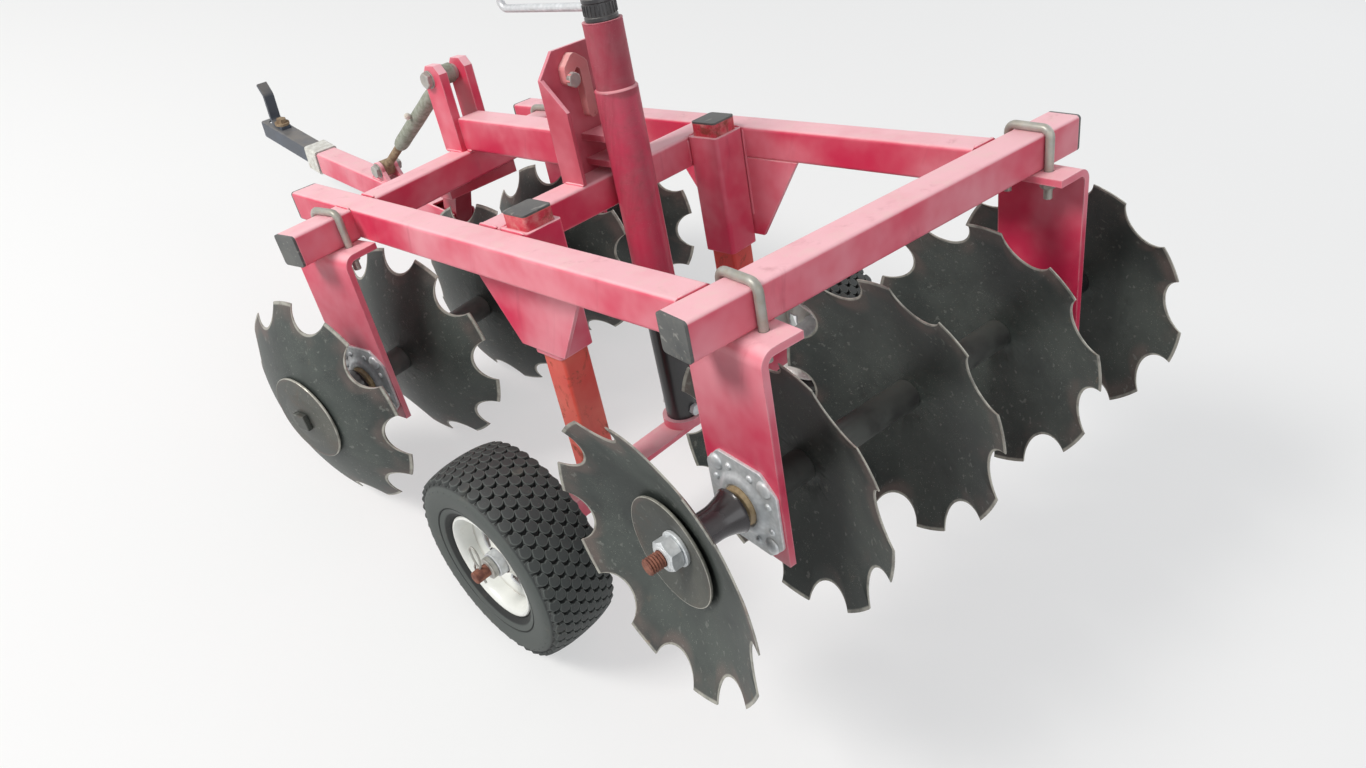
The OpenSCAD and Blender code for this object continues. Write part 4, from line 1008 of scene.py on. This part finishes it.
GANGS = (
    # name, place, shift along its axis, places of its discs, turns of its discs
    ("rear", REAR, 0, REAR_DISCS, REAR_TURNS),
    ("front", FRONT, FRONT_GANG_SHIFT, FRONT_DISCS, FRONT_TURNS),
)
for gang_name, gang_place, gang_shift, places, turns in GANGS:
    gang_body = gang_name + "_gang"
    discs(gang_name + "_blades", gang_place, gang_body, gang_name + "_discs", places, turns)
    spools(gang_name + "_castings", gang_place, gang_body, gang_name + "_spools", places)
    gang_bolt(gang_name + "_through_bolt", gang_place, gang_body, gang_name + "_gang_bolt", gang_shift)


# Bearing plates on the hangers
BEARING_HALF = 64
BEARING_CUT = 25
BEARING_BOLT = 62


def facing(way):
    """The hangers' outer sides face apart: -1 turns a piece to the other side."""
    return MIRROR if way < 0 else Matrix.Identity(4)


def bearings():
    p = Piece("bearing_plates", "frame", "zinc", "zinc", ["bearing_flanges"])
    for place in (REAR, FRONT):
        for x, way in zip(HANGERS, (1, -1)):
            bearing(p, place @ move(x, 0, -GANG_DROP) @ facing(way))
    p.done(30)


def bearing(p, at):
    """Stamped plate at x = 0, rising towards -X, with its bolts, rivets, seal and nuts."""
    def outline(a):
        c = abs(math.cos(a))
        s = abs(math.sin(a))
        return min(BEARING_HALF / max(c, s, 1e-6), (2 * BEARING_HALF - BEARING_CUT) / (c + s))
    angles = circle(96)
    rows = [[polar(0, 20, a) for a in angles]]
    for x, inset in ((0, 0), (-3.2, 0), (-4.0, 0.9)):
        rows.append([polar(x, outline(a) - inset, a) for a in angles])
    housing = ((-4.0, 47), (-4.6, 44), (-7.6, 40), (-9.6, 37.5), (-10.4, 34), (-10.0, 30), (-8.2, 27.6),
               (-8.0, 20))
    for x, r in housing:
        rows.append([polar(x, r, a) for a in angles])
    p.use("zinc")
    p.rings(at, rows)
    for a in range(45, 360, 90):
        dome(p, at @ turn("X", a) @ move(-4, 0, BEARING_BOLT), 11.6, 5.6)
    for a in (22, 68, 112, 158, 202, 248, 292, 338):
        dome(p, at @ turn("X", a) @ move(-4, 0, 51.5), 4.9, 3.4)
    p.use("seal")
    seal = [(-16, 18.2), (-16, 21), (-14.6, 24.6), (-10, 27.4), (-8.2, 27.4), (-6, 18.2)]
    p.lathe(at, seal, 48, closed=True)
    p.use("old_zinc")
    for a in range(45, 360, 90):
        nut = at @ turn("X", a) @ move(0, 0, BEARING_BOLT)
        p.hexagon(nut, 17, 10.6, 19)
        p.lathe(nut, [(10, 0.01), (10, 10.5), (11.6, 10.5), (11.6, 0.01)], 24)


def dome(p, at, r, h):
    """A low round head towards -X."""
    curve = [(-h * math.sin(t), r * math.cos(t)) for t in quarter(6)[1:]]
    p.lathe(at, [(0.1, 0.01), (0.1, r)] + curve, 24)


bearings()


# U bolts over the gang beams
def u_bolts():
    p = Piece("u_bolt_rods", "frame", "old_zinc", "zinc", ["u_bolts"])
    under = TUBE + HANGER_PLATE
    u = HALF + 6.5
    top = 6.3
    bend = 12
    tip = -under - 28
    half = [(0, -u, tip), (0, -u, -40)]
    half += [(0, -u + bend - bend * math.cos(t), top - bend + bend * math.sin(t)) for t in quarter(6)]
    half += [(0, -8, top)]
    path = half + [(0, -y, z) for x, y, z in half[::-1]]
    washer = [(60.9, 6.2), (60.9, 11.6), (61.3, 12), (63, 12), (63.4, 11.6), (63.4, 6.2)]
    for place in (REAR, FRONT):
        for x, way in zip(HANGERS, (1, -1)):
            at = place @ move(x, 0, 0) @ facing(way) @ move(39, 0, 0)
            p.use("rod")
            p.sweep(at, path, 6, 18)
            for s, nut_look in ((-1, "rod"), (1, "zinc")):
                foot = at @ move(0, s * u, 0) @ turn("Y", 90)
                p.use(nut_look)
                p.lathe(foot, washer, 28, closed=True)
                p.hexagon(foot, 19, 63.4, 74.2, 6)
                p.use("old_zinc")
                p.thread(foot, 6.05, 74, 90, 1.8, 0.7, 18)
    p.done(30)


u_bolts()


# Weld beads
def frame_welds():
    p = Piece("frame_welds", "frame", "frame", "frame_red")

    def bead(a, b, r=2.8):
        p.bead(STAND, a, b, r)

    def upright(x, y, low, high, r=2.8):
        bead((x, y, high), (x, y, low), r)

    def along_y(x, y0, y1, z, r=2.8):
        bead((x, y0, z), (x, y1, z), r)
    slope = math.tan(math.radians(GANG_ANGLE))
    reach = HALF / math.cos(math.radians(GANG_ANGLE))
    low = 4 - TUBE
    for s in (-1, 1):
        inner = s * RAIL_INNER
        sleeve_out = s * (LEG_X + SLEEVE / 2)
        for x in (inner, s * RAIL_OUTER):
            rear = BEAM_Y + x * slope - reach
            front = BEAM_Y + x * slope + reach
            upright(x, rear + 4, low, -4, 2.6)
            along_y(x, rear + 5, front - 5, 0.2, 2.6)
        for y in (MIDDLE_REAR, MIDDLE_FRONT):
            upright(inner, y, low, -4)
        along_y(inner, MIDDLE_REAR + 4, MIDDLE_FRONT - 4.8, 0.2, 2.6)
        a = s * (RAIL_INNER + 5)
        b = s * (RAIL_OUTER - 5)
        bead((a, -BEAM_Y - a * slope + reach, 0.2), (b, -BEAM_Y - b * slope + reach, 0.2))
        upright(inner, -BEAM_Y - inner * slope + HALF * 1.01 + 0.4, -46, -5)
        along_y(s * (RAIL_INNER + 3) + s * 3, -132, 124, -TUBE, 2.6)
        upright(s * (LEG_X - SLEEVE / 2), MIDDLE_REAR, -44, -6)
        bead((s * (LEG_X - 26), MIDDLE_REAR, 0), (s * (LEG_X + 26), MIDDLE_REAR, 0))
        along_y(sleeve_out, -32, 20, 0)
        upright(sleeve_out, LEG_Y - SLEEVE / 2, -150, -4, 2.6)
    for x in (SPINE_X - HALF, SPINE_X + HALF):
        bead((x, MIDDLE_FRONT, 2), (x, MIDDLE_FRONT, 52), 2.6)
        along_y(x, 399, 414, 0.5, 2.6)
    for x0, x1 in ((-64, -12), (42, 80)):
        bead((x0, MIDDLE_FRONT - 0.4, 0.4), (x1, MIDDLE_FRONT - 0.4, 0.4))
    for x in (-64, 80):
        along_y(x, 28, 70, 0.4, 2.4)
    for x in (SPINE_X - 26.5, SPINE_X + 26.5):
        for dx in (-8.5, 8.5):
            along_y(x + dx, MAST_REAR + 3, MAST_REAR + 50, 0.3, 2.4)
    p.done(50)


def lift_welds():
    p = Piece("lift_welds", "lift", "leg", "leg_red")
    for s in (-1, 1):
        outer = s * (LEG_X + 25)
        inner = s * (LEG_X - 25)
        for y in (LEG_Y - 20, LEG_Y + 20):
            p.bead(STAND, (outer, y, -444), (outer, y, -476), 2.6)
        p.bead(STAND, (outer, LEG_Y - 16, -440), (outer, LEG_Y + 16, -440), 2.6)
        p.bead(STAND, (inner, -28, -451.8), (inner, 17, -451.8), 2.4)
    p.done(50)


def drawbar_welds():
    p = Piece("drawbar_welds", "drawbar", "bracket", "bracket_red")
    for ear in (-16, 16):
        for x in (ear - 4, ear + 4):
            p.bead(BAR, (x, EAR_REACH - 35, 25.6), (x, EAR_REACH + 35, 25.6), 2.2)
    p.done(50)


frame_welds()
lift_welds()
drawbar_welds()


# Crank on the jack
CRANK_BAR = 17.05
CRANK_BEND = 14
GRIP_RISE = 22


def crank():
    p = Piece("crank_handle", "frame", "black", "crank_silver", ["jack_crank"])
    bar = JACK_HEAD_TOP + CRANK_BAR
    tall = JACK @ move(0, 0, JACK_HEAD_TOP) @ turn("Y", -90)
    hub = [(0, 0.01), (0, 22.4), (1.2, 24), (6, 24), (7, 23), (24, 23), (25, 24), (29.6, 24), (31, 22.4),
           (31.2, 14), (30, 12.6), (30, 0.01)]
    p.lathe(tall, hub, 48)
    for k in range(24):
        rib = JACK @ move(0, 0, JACK_HEAD_TOP + 15.5) @ turn("Z", k * 15) @ move(23, 0, 0)
        p.sweep(rib, [(0, 0, -7), (0.5, 0, -6), (0.5, 0, 6), (0, 0, 7)], 1.0, 6)
    p.use("crank")
    path = [(0, y, bar) for y in (22.5, 60, 140, 200)]
    bend = [(CRANK_BEND * math.sin(t), CRANK_BEND * math.cos(t)) for t in quarter(8)]
    path += [(0, CRANK_REACH - CRANK_BEND + y, bar + CRANK_BEND - z) for y, z in bend]
    path += [(0, CRANK_REACH, bar + z) for z in (30, 94)]
    p.sweep(JACK, path, 6, 18)
    grip = JACK @ move(0, CRANK_REACH, bar + GRIP_RISE) @ turn("Y", -90)
    ribs = [(4 + 4 * k, 13.6 if k % 2 else 14.0) for k in range(21)]
    p.lathe(grip, [(0, 6.2), (0, 12.4), (1.6, 14)] + ribs + [(88.4, 14), (90, 12.4), (90, 0.01)], 32)
    p.done(35)


# Bolts and seams
def bolt_pair(p, place, half, af, thick, pin):
    """A bolt along X: head and washer on -X, washer and nut with its thread on +X."""
    washer = 1.6
    p.hexagon(place, af, -half - thick, -half - washer)
    for a, b in ((-half - washer, -half), (half, half + washer)):
        p.lathe(place, [(a, 0.01), (a, af * 0.62), (b, af * 0.62), (b, 0.01)], 32)
    p.hexagon(place, af, half + washer, half + thick)
    p.thread(place, pin - 0.6, half + thick - 1, half + thick + 3.5, 2, 0.9)
    p.lathe(place, [(-half, 0.01), (-half, pin), (half, pin), (half, 0.01)], 24)


def bolts():
    p = Piece("mast_bolt_set", "frame", "old_zinc", "zinc", ["mast_bolt"])
    at = STAND @ move(SPINE_X, MAST_PIN_Y, MAST_PIN_Z)
    bolt_pair(p, at, 34.5, 25, 11, 8)
    for near, far in ((-18.5, -11.4), (11.4, 18.5)):
        spacer = [(near, 8), (near, 12.4), (near + 0.6, 13), (far - 0.6, 13), (far, 12.4), (far, 8)]
        p.lathe(at, spacer, 32, closed=True)
    p.done(30)
    e = Piece("ear_bolt_set", "drawbar", "old_zinc", "zinc", ["ear_bolt"])
    bolt_pair(e, BAR @ move(0, EAR_REACH, EAR_UP), 20, 25, 10, 8)
    e.done(30)
    t = Piece("strap_bolt_head", "frame", "old_zinc", "zinc")
    t.hexagon(STAND @ move(TOWER_X - 27, 0, 142) @ turn("Z", 90), 19.8, 47.6, 56.0)
    t.done(30)


def jack_seams():
    """The weld at the jack's foot, its shoulder and the rim of its head."""
    p = Piece("jack_tube_seams", "frame", "jack", "frame_red")
    rise = JACK @ turn("Y", -90)
    foot = [(-204, 31.8), (-203, 32.4), (-201, 32.4), (-200, 31.8)]
    shoulder = [(124.2, 31.2), (124.8, 32.1), (126.6, 31.0), (128.2, 28.6), (127, 28.4)]
    head = [(216.6, 28.4), (217.4, 28.9), (218.6, 28.6), (218.8, 26.8), (218.2, 25), (216, 25)]
    for profile in (foot, shoulder, head):
        p.lathe(rise, profile, 64, closed=True)
    p.done(40)


# Turnbuckle
KNOB_Y = 168


def turnbuckle():
    """Barrel with its knob and rear eye; its front screw rides on the rod."""
    p = Piece("turnbuckle_sleeve", "turnbuckle", "barrel", "turnbuckle_grey", ["turnbuckle_barrel"])
    along = LINK @ turn("Z", 90)
    end = LINK_LENGTH - 110
    bottom = end - 90
    outside = [(70, 0.01), (70, 11), (73, 13), (82, 14.2), (95, 14.6), (120, 14.3), (185, 14.7), (250, 14.3),
               (276, 14.5), (288, 14), (297, 12.4), (end, 11.2)]
    p.lathe(along, outside + [(end, 9.3), (bottom, 9.3), (bottom, 0.01)], 40)
    p.sweep(LINK, [(-11.5, KNOB_Y, 3.5), (-15, KNOB_Y, 5), (-17, KNOB_Y, 6)], [4.2, 4.0, 3.6], 12)
    p.use("ball")
    ball = [(6.4 * math.sin(t), 6.4 * math.cos(t)) for t in (math.pi * (k / 10 - 0.5) for k in range(11))]
    p.lathe(LINK @ move(-20.5, KNOB_Y, 8), ball, 20)
    p.use("barrel")
    p.thread(along, 8.2, 15, 71, 2.6, 0.9)
    eye = [(-11, 8.1), (-11, 16.2), (-10.2, 17), (10.2, 17), (11, 16.2), (11, 8.1)]
    p.lathe(LINK, eye, 40, closed=True)
    p.done(35)
    q = Piece("turnbuckle_screw", "turnbuckle_end", "tan", "rusty_steel")
    q.thread(along, 8.5, end + 1, LINK_LENGTH - 16, 2.6, 0.9)
    q.done(35)


crank()
bolts()
jack_seams()
turnbuckle()
